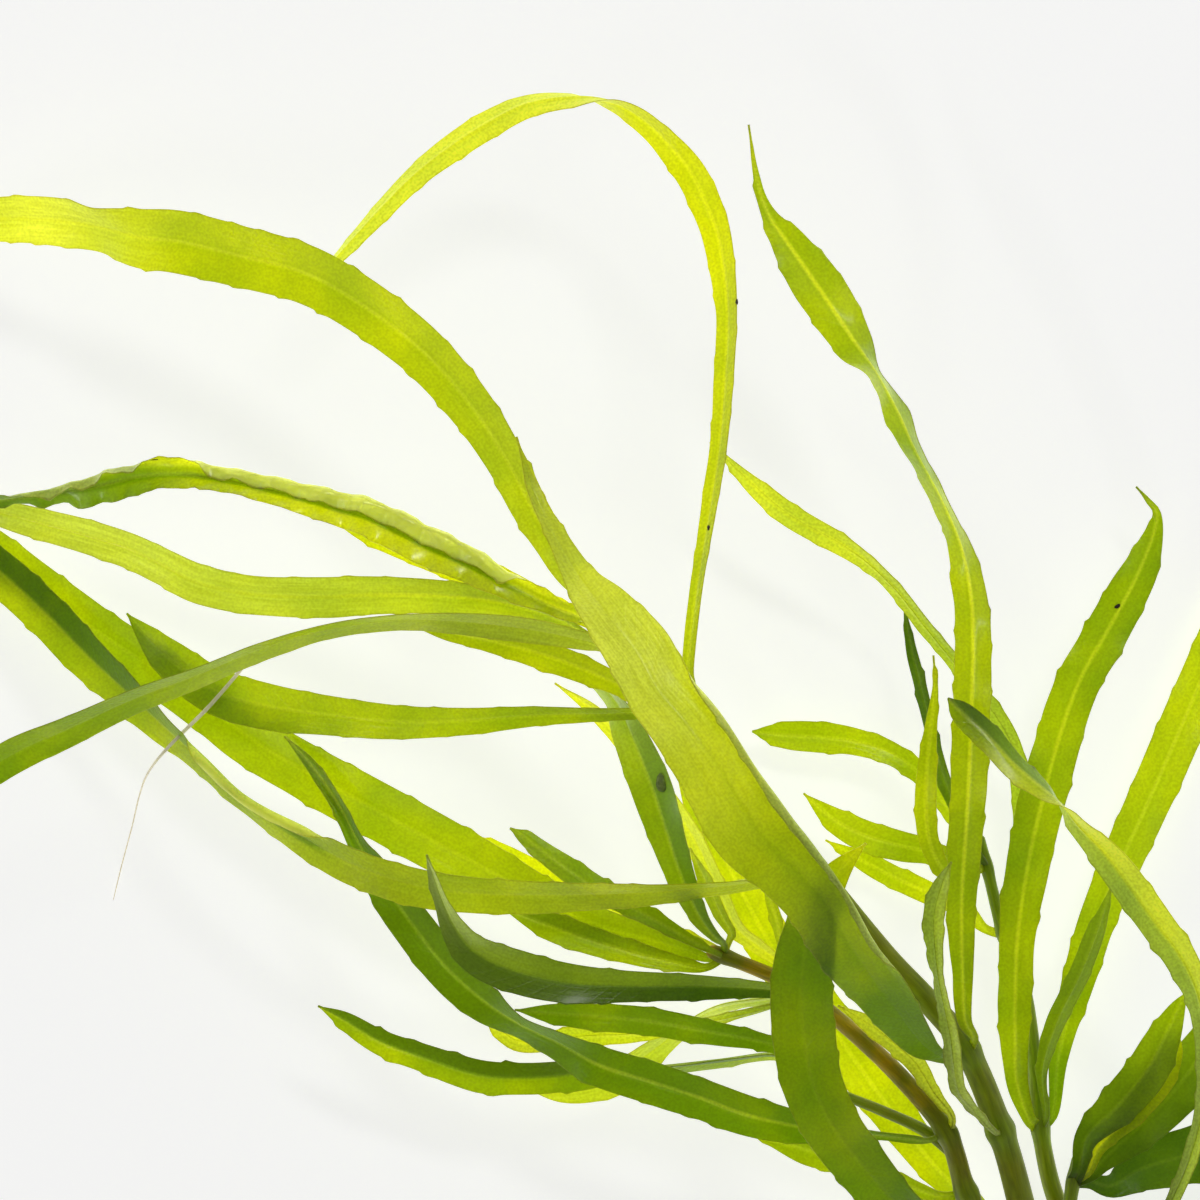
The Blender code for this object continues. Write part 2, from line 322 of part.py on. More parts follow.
def as_placed(point):
    """Where a point really is that the eye sees at x and y: the nearer, the less far out."""
    x, y, height, *rest = point
    nearness = 1 - (height - SIGHT_PLANE_HEIGHT) / SIGHT_DISTANCE
    return (x * nearness, y * nearness, height, *rest)


def smooth_route(points):
    """A dense line on a smooth curve through the points, with what else each point gives."""
    knots = [np.array(p, dtype=float) for p in points]
    ends = [2 * knots[0] - knots[1]] + knots + [2 * knots[-1] - knots[-2]]
    line = []
    for a, b, c, d in zip(ends, ends[1:], ends[2:], ends[3:]):
        for step in range(SAMPLES_PER_SPAN):
            t = step / SAMPLES_PER_SPAN
            line.append(0.5 * (2 * b + (c - a) * t + (2 * a - 5 * b + 4 * c - d) * t ** 2
                               + (3 * b - a - 3 * c + d) * t ** 3))
    return np.array(line + [knots[-1]])


def shares_along(line):
    """How far along its length each point of a line is, from 0 to 1, and that length."""
    steps = np.linalg.norm(np.diff(line[:, :3], axis=0), axis=1)
    run = np.concatenate([[0.0], np.cumsum(steps)])
    return run / run[-1], run[-1]


def at_shares(line, wanted):
    """The points of a line at the wanted shares of its length."""
    shares, _ = shares_along(line)
    return np.stack([np.interp(wanted, shares, column) for column in line.T], axis=1)


def upright_frame(forward):
    """The directions up and left of a heading: up leans as little from the vertical as it can."""
    forward = forward.normalized()
    up = (Vector((0, 0, 1)) - forward * forward.z).normalized()
    return up, up.cross(forward)


def headings(points):
    """The direction in which a line of points runs, at each of them."""
    return [Vector(d).normalized() for d in np.gradient(points, axis=0)]


def stem_radius(stem, share):
    return stem.foot_radius + (stem.top_radius - stem.foot_radius) * share


def nearest_share(line, point):
    shares, _ = shares_along(line)
    return float(shares[np.argmin(np.linalg.norm(line - np.array(as_placed(point)), axis=1))])


def stem_lines():
    """The centre line of each stem, with a branch starting clear of the side of its parent."""
    lines = {}
    by_name = {stem.name: stem for stem in STEMS}
    for stem in STEMS:
        line = smooth_route([as_placed(point) for point in stem.route])
        if stem.springs_from:
            parent = by_name[stem.springs_from]
            trunk = lines[parent.name]
            share = nearest_share(trunk, stem.route[0])
            clearance = stem_radius(parent, share) + stem.foot_radius * BRANCH_ROOT_SHARE + BRANCH_GAP
            away = [np.linalg.norm(trunk - p, axis=1).min() for p in line]
            first_clear = next(i for i, gap in enumerate(away) if gap > clearance)
            line = line[first_clear:]
        lines[stem.name] = line
    return lines


def add_object(name, mesh_builder, colour):
    """A named object with its own material, smooth shaded, from a filled bmesh in metres."""
    mesh = bpy.data.meshes.new(name)
    mesh_builder.normal_update()
    bmesh.ops.recalc_face_normals(mesh_builder, faces=mesh_builder.faces[:])
    mesh_builder.to_mesh(mesh)
    mesh_builder.free()
    mesh.shade_smooth()
    material = bpy.data.materials.new(name)
    material.use_nodes = True
    surface = material.node_tree.nodes["Principled BSDF"]
    surface.inputs["Base Color"].default_value = colour
    surface.inputs["Roughness"].default_value = ROUGHNESS
    surface.inputs["Metallic"].default_value = 0.0
    mesh.materials.append(material)
    obj = bpy.data.objects.new(name, mesh)
    bpy.context.collection.objects.link(obj)
    return obj


def place(point):
    """A plan position in millimetres as a point of the plant's own frame, in metres."""
    return (Vector(point) - FOOTPRINT_MIDDLE) * MM


def bridge_rings(builder, rings, tip=None):
    """Skins a row of equal rings of points, closes its foot, and its far end or tip.

    Every facet's slanting side runs from an even point of one ring to an odd point of the next. The
    two faces of a blade, whose even points are its margins, so stay parallel where it twists.
    """
    loops = [[builder.verts.new(place(p)) for p in ring] for ring in rings]
    sides = len(rings[0])
    for low, high in zip(loops, loops[1:]):
        for i in range(sides):
            j = (i + 1) % sides
            even, odd = (i, j) if i % 2 == 0 else (j, i)
            builder.faces.new((low[i], low[j], high[odd]))
            builder.faces.new((low[even], high[j], high[i]))
    builder.faces.new(list(reversed(loops[0])))
    if tip is None:
        builder.faces.new(loops[-1])
        return
    point = builder.verts.new(place(tip))
    for i in range(sides):
        builder.faces.new((loops[-1][i], loops[-1][(i + 1) % sides], point))


def lifted_clear(ring):
    """The ring, raised onto the table top if any of it would lie below."""
    sunk = max(0, -min(point.z for point in ring))
    return [point + Vector((0, 0, sunk)) for point in ring]


def make_stem(stem, line, whorl_shares):
    """A slightly swollen round stem: a ring at each whorl, and others between them."""
    _, length = shares_along(line)
    count = max(STEM_RINGS_LEAST, round(length / STEM_RING_SPACING))
    wanted = np.linspace(0, 1, count + 1)
    points = at_shares(line, wanted)
    rings = []
    for share, point, heading in zip(wanted.tolist(), points, headings(points)):
        up, left = upright_frame(heading)
        near = min((abs(share - w) * length for w in whorl_shares), default=length)
        radius = stem_radius(stem, share) * (1 + NODE_SWELLING * math.exp(-(near / NODE_SPREAD) ** 2))
        centre = Vector(point)
        angles = [2 * math.pi * (i + 0.5) / STEM_SIDES for i in range(STEM_SIDES)]
        rings.append(lifted_clear(
            [centre + radius * (up * math.cos(a) + left * math.sin(a)) for a in angles]))
    builder = bmesh.new()
    bridge_rings(builder, rings)
    return add_object(stem.name, builder, OLIVE)


def leaf_line(leaf, stem, line):
    """The leaf's own centre line, from just off the stem's skin through its route."""
    share = nearest_share(line, WHORLS[leaf.whorl].place)
    nearby = [max(0, share - HEADING_STEP), share, min(1, share + HEADING_STEP)]
    before, centre, after = at_shares(line, nearby)
    ahead = Vector(after - before).normalized()
    up, left = upright_frame(ahead)
    turn = math.radians(leaf.turn)
    outward = up * math.cos(turn) + left * math.sin(turn)
    base = Vector(centre) + outward * (stem_radius(stem, share) * (1 + NODE_SWELLING) + LEAF_GAP)
    route = [as_placed(point) for point in leaf.route]
    away = Vector(route[0][:3]) - base
    reach = min(LEAF_RISE, away.length * RISE_SHARE)
    rise = base + (outward * OUTWARD_SHARE + away.normalized()).normalized() * reach
    neck = (route[0][3] * BASE_NARROWING, route[0][4])
    return smooth_route([(*base, *neck), (*rise, *neck)] + route)


def make_leaf(leaf, stem, line):
    """A thin folded blade: each ring has two sharp margins, a midrib above and one below."""
    blade = leaf_line(leaf, stem, line)
    _, length = shares_along(blade)
    count = max(LEAF_RINGS_LEAST, round(length / LEAF_RING_SPACING))
    wanted = np.linspace(0, 1, count + 1)
    stations = at_shares(blade, wanted)
    rings = []
    for share, station, heading in zip(wanted.tolist(), stations, headings(stations[:, :3])):
        up, left = upright_frame(heading)
        roll = math.radians(station[4])
        face = up * math.cos(roll) + left * math.sin(roll)
        across = face.cross(heading)
        half = max(BLADE_LEAST_WIDTH, float(station[3])) / 2
        lift = half * math.tan(math.radians(BLADE_FOLD))
        rib = (MIDRIB_THICKNESS + (MIDRIB_AT_TIP - MIDRIB_THICKNESS) * share) / 2
        centre = Vector(station[:3])
        rings.append(lifted_clear([centre + across * half + face * lift, centre + face * rib,
                                   centre - across * half + face * lift, centre - face * rib]))
    tip = sum(rings.pop(), Vector()) / 4
    builder = bmesh.new()
    bridge_rings(builder, rings, tip)
    return add_object(leaf.name, builder, GREEN)


def make_plant():
    for obj in list(bpy.data.objects):
        bpy.data.objects.remove(obj)
    lines = stem_lines()
    by_name = {stem.name: stem for stem in STEMS}
    for stem in STEMS:
        places = [whorl.place for whorl in WHORLS.values() if whorl.stem == stem.name]
        shares = [nearest_share(lines[stem.name], place) for place in places]
        make_stem(stem, lines[stem.name], shares)
    for leaf in LEAVES:
        stem = by_name[WHORLS[leaf.whorl].stem]
        make_leaf(leaf, stem, lines[stem.name])


make_plant()
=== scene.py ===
import math
import random

import bmesh
import bpy
import numpy as np
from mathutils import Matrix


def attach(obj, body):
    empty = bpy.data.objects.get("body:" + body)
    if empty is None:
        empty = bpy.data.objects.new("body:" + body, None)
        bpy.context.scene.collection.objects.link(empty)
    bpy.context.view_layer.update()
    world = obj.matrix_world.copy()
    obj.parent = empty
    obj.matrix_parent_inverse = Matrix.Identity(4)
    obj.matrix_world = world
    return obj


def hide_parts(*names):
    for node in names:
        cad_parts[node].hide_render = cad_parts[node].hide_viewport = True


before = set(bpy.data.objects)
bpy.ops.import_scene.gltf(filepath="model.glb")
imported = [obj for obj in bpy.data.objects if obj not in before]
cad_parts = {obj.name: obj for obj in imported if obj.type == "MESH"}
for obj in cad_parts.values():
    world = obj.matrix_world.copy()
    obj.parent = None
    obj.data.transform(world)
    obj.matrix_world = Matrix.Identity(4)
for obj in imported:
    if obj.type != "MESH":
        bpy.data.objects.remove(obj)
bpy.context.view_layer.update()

# Main stem
# A soft, round water stem, brown-olive at its old foot and greener towards the growing tip.
# It was cut across with a blade at the foot, and it swells a little where leaves spring.
# Lengths are in millimetres. Plan positions are as an eye straight above the plant sees them.
MM = 0.001
FOOTPRINT_MIDDLE = np.array([8.98, -46.06, 0.0])
SIGHT_DISTANCE = 1000.0
SIGHT_PLANE_HEIGHT = 32.0
SAMPLES_PER_SPAN = 24
STEM_STEP = 0.7
STEM_SIDES = 28
COLLAR_SWELLING = 0.22
COLLAR_SPREAD = 1.6
COLLAR_GREEN, COLLAR_GREEN_REACH = 0.45, 1.6
BROAD_RIDGES, BROAD_RIDGE_HEIGHT = 4, 0.03
FINE_RIDGES, FINE_RIDGE_HEIGHT = 11, 0.012
CUT_STEPS = np.array([0.02, 0.2, 0.4, 0.6, 0.8, 0.97])
TIP_STEPS = np.array([0.93, 0.78, 0.5, 0.12])
STEM_SHADES = ((0.0, (0.34, 0.24, 0.006)), (0.3, (0.18, 0.175, 0.004)), (1.0, (0.165, 0.22, 0.005)))
PITH_SHADES = ((0.0, (0.20, 0.13, 0.03)), (0.12, (0.42, 0.50, 0.14)), (0.3, (0.28, 0.36, 0.08)),
               (0.45, (0.62, 0.64, 0.34)), (1.0, (0.70, 0.68, 0.44)))


def as_placed(point):
    x, y, height, *rest = point
    nearness = 1 - (height - SIGHT_PLANE_HEIGHT) / SIGHT_DISTANCE
    return (x * nearness, y * nearness, height, *rest)


def smooth_route(points):
    knots = [np.array(p, dtype=float) for p in points]
    ends = [2 * knots[0] - knots[1]] + knots + [2 * knots[-1] - knots[-2]]
    line = []
    for a, b, c, d in zip(ends, ends[1:], ends[2:], ends[3:]):
        for step in range(SAMPLES_PER_SPAN):
            t = step / SAMPLES_PER_SPAN
            line.append(0.5 * (2 * b + (c - a) * t + (2 * a - 5 * b + 4 * c - d) * t ** 2
                               + (3 * b - a - 3 * c + d) * t ** 3))
    return np.array(line + [knots[-1]])


def shares_along(line):
    steps = np.linalg.norm(np.diff(line[:, :3], axis=0), axis=1)
    run = np.concatenate([[0.0], np.cumsum(steps)])
    return run / run[-1], run[-1]


def at_shares(line, wanted):
    shares, _ = shares_along(line)
    return np.stack([np.interp(wanted, shares, column) for column in line.T], axis=1)


def nearest_share(line, point):
    shares, _ = shares_along(line)
    return float(shares[np.argmin(np.linalg.norm(line - np.array(as_placed(point)), axis=1))])


def upright_frames(ahead):
    ahead = ahead / np.linalg.norm(ahead, axis=1, keepdims=True)
    up = np.array([0.0, 0.0, 1.0]) - ahead * ahead[:, 2:]
    up = up / np.linalg.norm(up, axis=1, keepdims=True)
    return ahead, up, np.cross(up, ahead)


def ring_round(up, left, around):
    return up[:, None] * np.cos(around)[:, None] + left[:, None] * np.sin(around)[:, None]


def lifted_clear(rings):
    sunk = np.maximum(0, -rings[:, :, 2].min(axis=1))
    rings[:, :, 2] += sunk[:, None]
    return rings


def skinned(name, rings, values, material):
    """A closed piece from a row of rings of points, with a number per point for each value."""
    count, sides, _ = rings.shape
    low = np.arange((count - 1) * sides)
    beside = low + 1 - np.where(low % sides == sides - 1, sides, 0)
    faces = np.stack([low, beside, beside + sides, low + sides], axis=1).tolist()
    faces += [list(range(sides))[::-1], list(range((count - 1) * sides, count * sides))]
    mesh = bpy.data.meshes.new(name)
    mesh.from_pydata(((rings.reshape(-1, 3) - FOOTPRINT_MIDDLE) * MM).tolist(), [], faces)
    for value, numbers in values.items():
        numbers = np.broadcast_to(numbers, (count, sides)).ravel().astype(np.float32)
        mesh.attributes.new(value, "FLOAT", "POINT").data.foreach_set("value", numbers)
    builder = bmesh.new()
    builder.from_mesh(mesh)
    bmesh.ops.recalc_face_normals(builder, faces=builder.faces[:])
    builder.to_mesh(mesh)
    builder.free()
    mesh.shade_smooth()
    mesh.materials.append(material)
    piece = bpy.data.objects.new(name, mesh)
    bpy.context.collection.objects.link(piece)
    return piece


def wired(tree, kind, inputs=(), **settings):
    """A shader node with its settings, whose inputs take a number, a colour or another's output."""
    made = tree.nodes.new("ShaderNode" + kind)
    for setting, value in settings.items():
        setattr(made, setting, value)
    for socket, value in inputs:
        taker = made.inputs[socket]
        if isinstance(value, bpy.types.NodeSocket):
            tree.links.new(value, taker)
        else:
            taker.default_value = (*value, 1) if taker.type == "RGBA" else value
    return made


def told_by(tree, name):
    """The number that the points of a piece carry under a name."""
    return wired(tree, "Attribute", attribute_name=name).outputs["Fac"]


def figured(tree, operation, *numbers, use_clamp=False):
    return wired(tree, "Math", enumerate(numbers), operation=operation, use_clamp=use_clamp).outputs[0]


def spread(tree, value, low, high, to_low, to_high):
    return wired(tree, "MapRange", enumerate((value, low, high, to_low, to_high))).outputs[0]


def swung(tree, value, low, high):
    """A number that follows a noise, which itself lies mostly between 0.3 and 0.7."""
    return spread(tree, value, 0.3, 0.7, low, high)


def noise(tree, place, scale, detail):
    made = wired(tree, "TexNoise", [("Vector", place), ("Scale", scale), ("Detail", detail)])
    return made.outputs["Fac"]


def fibre_noise(tree, place, stretch, detail):
    """Noise drawn out along the piece, by its numbers across, along and in tone."""
    place = wired(tree, "CombineXYZ", enumerate(place)).outputs[0]
    place = wired(tree, "VectorMath", [(0, place), (1, stretch)], operation="MULTIPLY").outputs[0]
    return noise(tree, place, 1.0, detail)


def mixed(tree, share, first, second):
    return wired(tree, "Mix", [(0, share), (6, first), (7, second)], data_type="RGBA").outputs[2]


def brightened(tree, colour, light):
    return wired(tree, "HueSaturation", [("Value", light), ("Color", colour)]).outputs[0]


def shaded(tree, share, shades):
    """A colour that runs through shades, each given with the share at which it is reached."""
    ramp = wired(tree, "ValToRGB", [("Fac", share)])
    while len(ramp.color_ramp.elements) < len(shades):
        ramp.color_ramp.elements.new(0.5)
    for stop, (at, colour) in zip(ramp.color_ramp.elements, shades):
        stop.position = at
        stop.color = (*colour, 1)
    return ramp.outputs[0]


def raised(tree, height, strength, distance):
    made = wired(tree, "Bump", [("Height", height), ("Strength", strength), ("Distance", distance)])
    return made.outputs[0]


def blank_material(name):
    material = bpy.data.materials.new(name)
    material.use_nodes = True
    material.node_tree.nodes.clear()
    return material, material.node_tree, wired(material.node_tree, "TexCoord").outputs["Object"]


def stem_material():
    """Fibrous skin that runs from brown to green, and pale porous pith where the foot is cut."""
    material, tree, place = blank_material("stem_skin")
    around, along, core = (told_by(tree, name) for name in ("around", "along_mm", "core"))
    fibres = fibre_noise(tree, (around, along), (14.0, 0.22, 1.0), 4.0)
    blotches = noise(tree, place, 140.0, 5.0)
    cells = noise(tree, place, 2400.0, 2.0)
    mottled = figured(tree, "SUBTRACT", blotches, 0.5)
    youth = figured(tree, "MULTIPLY_ADD", mottled, 1.3, told_by(tree, "youth"))
    skin = brightened(tree, shaded(tree, youth, STEM_SHADES), swung(tree, fibres, 0.72, 1.3))
    pores = wired(tree, "TexVoronoi", [("Vector", place), ("Scale", 3200.0)]).outputs["Distance"]
    pith = brightened(tree, shaded(tree, core, PITH_SHADES), spread(tree, pores, 0.0, 0.5, 0.55, 1.05))
    colour = mixed(tree, figured(tree, "GREATER_THAN", core, 0.001), skin, pith)
    height = figured(tree, "MULTIPLY_ADD", fibres, 1.6, cells)
    surface = wired(tree, "BsdfPrincipled", [
        ("Base Color", colour), ("Roughness", swung(tree, blotches, 0.32, 0.5)),
        ("Specular IOR Level", 0.3), ("Normal", raised(tree, height, 0.5, 0.0001))])
    through = wired(tree, "BsdfTranslucent", [("Color", brightened(tree, colour, 0.8))])
    both = wired(tree, "AddShader", [(0, surface.outputs[0]), (1, through.outputs[0])])
    wired(tree, "OutputMaterial", [("Surface", both.outputs[0])])
    return material


def grown_stem(name, foot_radius, top_radius, line, whorls, youth):
    """A stem with shallow ridges, swollen at its whorls, its foot cut flat and its tip rounded."""
    _, length = shares_along(line)
    count = int(length / STEM_STEP)
    wanted = np.linspace(0, 1, count + 1)
    centres = at_shares(line, wanted)
    _, up, left = upright_frames(np.gradient(centres, axis=0))
    radius = foot_radius + (top_radius - foot_radius) * wanted
    collar = np.zeros(count + 1)
    for place in whorls:
        off = (wanted - nearest_share(line, place)) * length
        radius = radius * (1 + COLLAR_SWELLING * np.exp(-(off / COLLAR_SPREAD) ** 2))
        collar += COLLAR_GREEN * np.exp(-(off / (COLLAR_GREEN_REACH * COLLAR_SPREAD)) ** 2)
    around = np.linspace(0, 1, STEM_SIDES, endpoint=False)
    turn = 2 * np.pi * around
    ridges = (1 + BROAD_RIDGE_HEIGHT * np.cos(BROAD_RIDGES * turn)
              + FINE_RIDGE_HEIGHT * np.sin(FINE_RIDGES * turn))
    rings = centres[:, None] + ring_round(up, left, turn) * (radius[:, None] * ridges)[:, :, None]
    ahead = (centres[-1] - centres[-2]) / np.linalg.norm(centres[-1] - centres[-2])
    tip = [centres[-1] + ahead * radius[-1] * math.sqrt(1 - step ** 2)
           + (rings[-1] - centres[-1]) * step for step in TIP_STEPS]
    cut = [centres[0] + (rings[0] - centres[0]) * step for step in CUT_STEPS]
    rings = lifted_clear(np.array([*cut, *rings, *tip]))
    on_cut, on_tip = np.zeros(len(CUT_STEPS)), np.zeros(len(TIP_STEPS))
    marks = np.concatenate([on_cut, wanted * length, on_tip + length])
    greener = (youth[0] + (youth[1] - youth[0]) * marks / length
               + np.concatenate([on_cut, collar, on_tip]))
    core = np.concatenate([1 - CUT_STEPS, np.zeros(len(marks) - len(CUT_STEPS))])
    piece = skinned(name + "_skin", rings, {
        "around": around[None, :], "along_mm": marks[:, None], "youth": greener[:, None],
        "core": core[:, None]}, stem_skin)
    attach(piece, "root")
    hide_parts(name)


stem_skin = stem_material()
WHORLS = {
    "main_foot": ("stem_main", (75.5, -124, 2.8)),
    "main_low": ("stem_main", (71, -115, 5.5)),
    "main_fork": ("stem_main", (67, -105.5, 10)),
    "main_0": ("stem_main", (60, -79.5, 21)),
    "main_1": ("stem_main", (55, -67.5, 26)),
    "main_2": ("stem_main", (32.3, -40.3, 34)),
    "main_3": ("stem_main", (12.6, -15.6, 39)),
    "main_top": ("stem_main", (2.6, -6, 41.5)),
    "left_0": ("stem_left_branch", (55, -89, 18.5)),
    "left_1": ("stem_left_branch", (52, -80, 22)),
    "left_2": ("stem_left_branch", (30, -58.5, 28)),
    "left_top": ("stem_left_branch", (18.5, -53.4, 31)),
    "shoot_top": ("stem_left_shoot", (30, -69.5, 24.5)),
    "right_0": ("stem_right_branch", (70, -93, 15)),
    "right_top": ("stem_right_branch", (71, -87, 16)),
    "back_1": ("stem_back_branch", (66, -79, 8)),
    "back_2": ("stem_back_branch", (60.5, -50, 9)),
    "back_top": ("stem_back_branch", (58, -40, 9.5)),
}
STEM_SIZES = {
    "stem_main": (2.4, 1.2), "stem_left_branch": (1.7, 1.0), "stem_left_shoot": (0.95, 0.6),
    "stem_right_branch": (1.6, 0.8), "stem_back_branch": (1.6, 0.8)}
stem_lines = {}


def plant_stem(name, youth, route):
    stem_lines[name] = smooth_route([as_placed(point) for point in route])
    places = [place for stem, place in WHORLS.values() if stem == name]
    grown_stem(name, *STEM_SIZES[name], stem_lines[name], places, youth)


plant_stem("stem_main", (0.55, 0.7), [
    (79, -133, 2.1), (76, -125, 2.1), (71, -115, 5), (66, -103, 11), (63, -90, 17),
    (60, -79.5, 21), (55, -67.5, 26), (49, -60, 29), (42.5, -53, 31), (32.3, -40.3, 34),
    (21.8, -26.5, 37), (12.6, -15.6, 39), (2.6, -6, 41.5), (0.5, -4.3, 42)])

# Side branches
# Four thinner stems that fork off the main one, each from the side of its parent.
# Their skin is the same, and the youngest of them are green to the foot.
plant_stem("stem_left_branch", (0.45, 0.05), [
    (64.5, -98, 13.5), (58.5, -94, 16), (55, -89, 18.5), (52, -80, 22), (45, -71.5, 24),
    (37, -64, 26), (30, -58.5, 28), (25, -56, 29), (18.5, -53.4, 31), (17, -52.8, 31.3)])
plant_stem("stem_left_shoot", (0.7, 0.9), [
    (53, -83, 20.5), (48.5, -79.5, 20.5), (42, -76.5, 22), (35, -73.5, 23.5), (30, -69.5, 24.5),
    (28, -67.5, 25)])
plant_stem("stem_right_branch", (0.8, 0.9), [
    (66, -101.5, 12), (69, -97.5, 14), (70, -93, 15), (71, -87, 16), (71.5, -84, 16.5)])
plant_stem("stem_back_branch", (0.8, 0.95), [
    (68, -107.5, 9), (71, -103, 7.5), (70, -95, 7), (67.5, -87, 7.5), (66, -79, 8),
    (65, -68, 8), (63.5, -58, 8.5), (60.5, -50, 9), (58, -40, 9.5), (57, -36, 10)])

# Lower leaves
# Long soft blades that leave the oldest whorls, near the cut foot of the main stem.
# A blade is a thin sheet on one midrib, a little folded, with a few fine teeth on wavy margins.
# The sheet: ACROSS runs from its midrib at 0 to its margin at 1.
LEAF_STEP = 0.75
ACROSS = np.array([0.0, 0.06, 0.16, 0.3, 0.42, 0.52, 0.62, 0.72, 0.82, 0.9, 0.96, 1.0])
LEAST_WIDTH = 0.3
BLADE_FOLD = 12.0
BLADE_THICKNESS, MARGIN_THINNING = 0.24, 0.55
FOOT_THICKENING, FOOT_REACH = 1.3, 5
KEEL_HEIGHT, KEEL_HEIGHT_LOSS = 0.46, 0.34
KEEL_WIDTH, KEEL_WIDTH_LOSS = 0.42, 0.2
GROOVE_DEPTH, GROOVE_WIDTH = 0.07, 0.3
# The neck: its sink and length are shares of the stem's radius.
WHORL_SPAN = 0.01
NECK_SINK, NECK_LENGTH, NECK_NARROWING, NECK_POINTS = 0.3, 0.45, 0.6, 3
LEAF_RISE, RISE_SHARE = 2.4, 0.45
OUTWARD_AT_NECK, OUTWARD_AT_RISE = 0.8, 0.35
# The margins: a tooth rises over its back and drops over its front, and both ends are plain.
TOOTHED_FROM, TOOTHED_TO, FIRST_TOOTH_LAG = 0.14, 0.95, 6
TOOTH_GAPS, TOOTH_SIZES = (4.5, 11), (0.5, 1.1)
TOOTH_BACK, TOOTH_FRONT, TOOTH_HOLLOW = 2.2, 0.7, 1.6
PLAIN_FOOT, PLAIN_TIP = 12, 8
PHASE_LIMIT = 6.3
FINE_WAVE_HEIGHT, FINE_WAVE_LENGTH, WAVE_WIDTH = 0.35, 0.43, 3.5
NARROW_BLADE_WAVE, BROAD_BLADE_WAVE = 0.2, 1.6
FRILL_SHARE = 0.45
TOOTH_POWER, WAVE_POWER = 7, 2
# A curled margin, and the painted tones that go with it: shade painted along the midrib under the
# flap's free edge, and a lighter tone and a pale sheen painted on the flap.
# One half of a blade can also be painted darker or lighter, as shade or light on that side, fading in
# from the midrib.
HALF_SHADE_START = 0.15
CURL_SPAN, CURL_EASE, CURL_FADE = 0.4, 0.2, 0.3
CURL_SHADE, OTHER_HALF_SHADE = 1.8, [0.08, 0.26]
# The finish.
BLOTCH_SCALE, BLOTCH_DETAIL = 95.0, 2.0
CELL_SCALE, CELL_DETAIL = 2600.0, 0.0
# A pale waxy bloom, which also stands in for painted sheen and highlights where a blade turns.
BLOOM_AND_SHEEN_COLOUR, BLOOM_AND_SHEEN_GLOW = (0.68, 0.69, 0.24), (0.58, 0.58, 0.05)


def leaf_tissue_group():
    """Blade colour, roughness and relief: mottled cells, streaks, midrib, margin, underside, and a
    pale bloom that is partly painted sheen.
    """
    tree = bpy.data.node_groups.new("leaf_tissue", "ShaderNodeTree")
    for name in ("Bright", "Deep", "Underside", "Rib", "Edge", "Bloom_and_sheen"):
        tree.interface.new_socket(name, in_out="INPUT", socket_type="NodeSocketColor")
    for name in ("Grain", "Streaks"):
        tree.interface.new_socket(name, in_out="INPUT", socket_type="NodeSocketFloat")
    tree.interface.new_socket("Colour", in_out="OUTPUT", socket_type="NodeSocketColor")
    for name in ("Roughness", "Height"):
        tree.interface.new_socket(name, in_out="OUTPUT", socket_type="NodeSocketFloat")
    given = tree.nodes.new("NodeGroupInput").outputs
    across, along, edge, below, tone, bold, wax_and_sheen = (told_by(tree, name) for name in (
        "across_mm", "along_mm", "edge_mm", "underside", "tone", "rib", "bloom_and_sheen"))
    place = wired(tree, "TexCoord").outputs["Object"]
    off_rib = figured(tree, "ABSOLUTE", across)
    blotches = noise(tree, place, BLOTCH_SCALE, BLOTCH_DETAIL)
    cells = noise(tree, place, CELL_SCALE, CELL_DETAIL)
    streaks = fibre_noise(tree, (across, along, tone), (2.4, 0.12, 9.0), 1.0)
    # The tone numbers hold the leaf's own tone plus painted shade on one half and along curls.
    age_and_shade = figured(tree, "ADD", swung(tree, blotches, -0.2, 0.2), tone, use_clamp=True)
    colour = mixed(tree, age_and_shade, given["Bright"], given["Deep"])
    flank = figured(tree, "MULTIPLY", spread(tree, off_rib, 0.4, 0.55, 0.0, 1.0),
                    spread(tree, off_rib, 0.6, 1.2, 0.3, 0.0))
    colour = mixed(tree, figured(tree, "MULTIPLY", flank, bold), colour, given["Deep"])
    colour = mixed(tree, figured(tree, "MULTIPLY", below, 0.85), colour, given["Underside"])
    # Bloom: pale wax, and painted sheen and highlights.
    wax_and_sheen = figured(tree, "MULTIPLY", wax_and_sheen, swung(tree, streaks, 0.6, 1.0), use_clamp=True)
    colour = mixed(tree, wax_and_sheen, colour, given["Bloom_and_sheen"])
    on_rib = spread(tree, off_rib, 0.15, 0.45, 0.85, 0.0)
    colour = mixed(tree, figured(tree, "MULTIPLY", on_rib, bold), colour, given["Rib"])
    colour = mixed(tree, spread(tree, edge, 0.05, 0.2, 0.8, 0.0), colour, given["Edge"])
    light = figured(tree, "MULTIPLY_ADD", swung(tree, streaks, -1.0, 1.0), given["Streaks"],
                    spread(tree, tone, 1.0, 2.0, 1.0, 0.5))
    light = figured(tree, "MULTIPLY_ADD", swung(tree, cells, -1.0, 1.0), given["Grain"], light)
    vein_phase = figured(tree, "MULTIPLY_ADD", off_rib, -1.3, along)
    veins = figured(tree, "SINE", figured(tree, "MULTIPLY", vein_phase, 2.3))
    height = figured(tree, "MULTIPLY_ADD", streaks, 2.0, spread(tree, veins, 0.75, 1.0, 0.0, 0.6))
    told = tree.nodes.new("NodeGroupOutput").inputs
    tree.links.new(brightened(tree, colour, light), told["Colour"])
    tree.links.new(figured(tree, "MULTIPLY_ADD", below, 0.1, swung(tree, blotches, 0.24, 0.38)),
                   told["Roughness"])
    tree.links.new(figured(tree, "MULTIPLY_ADD", cells, 0.7, height), told["Height"])
    return tree


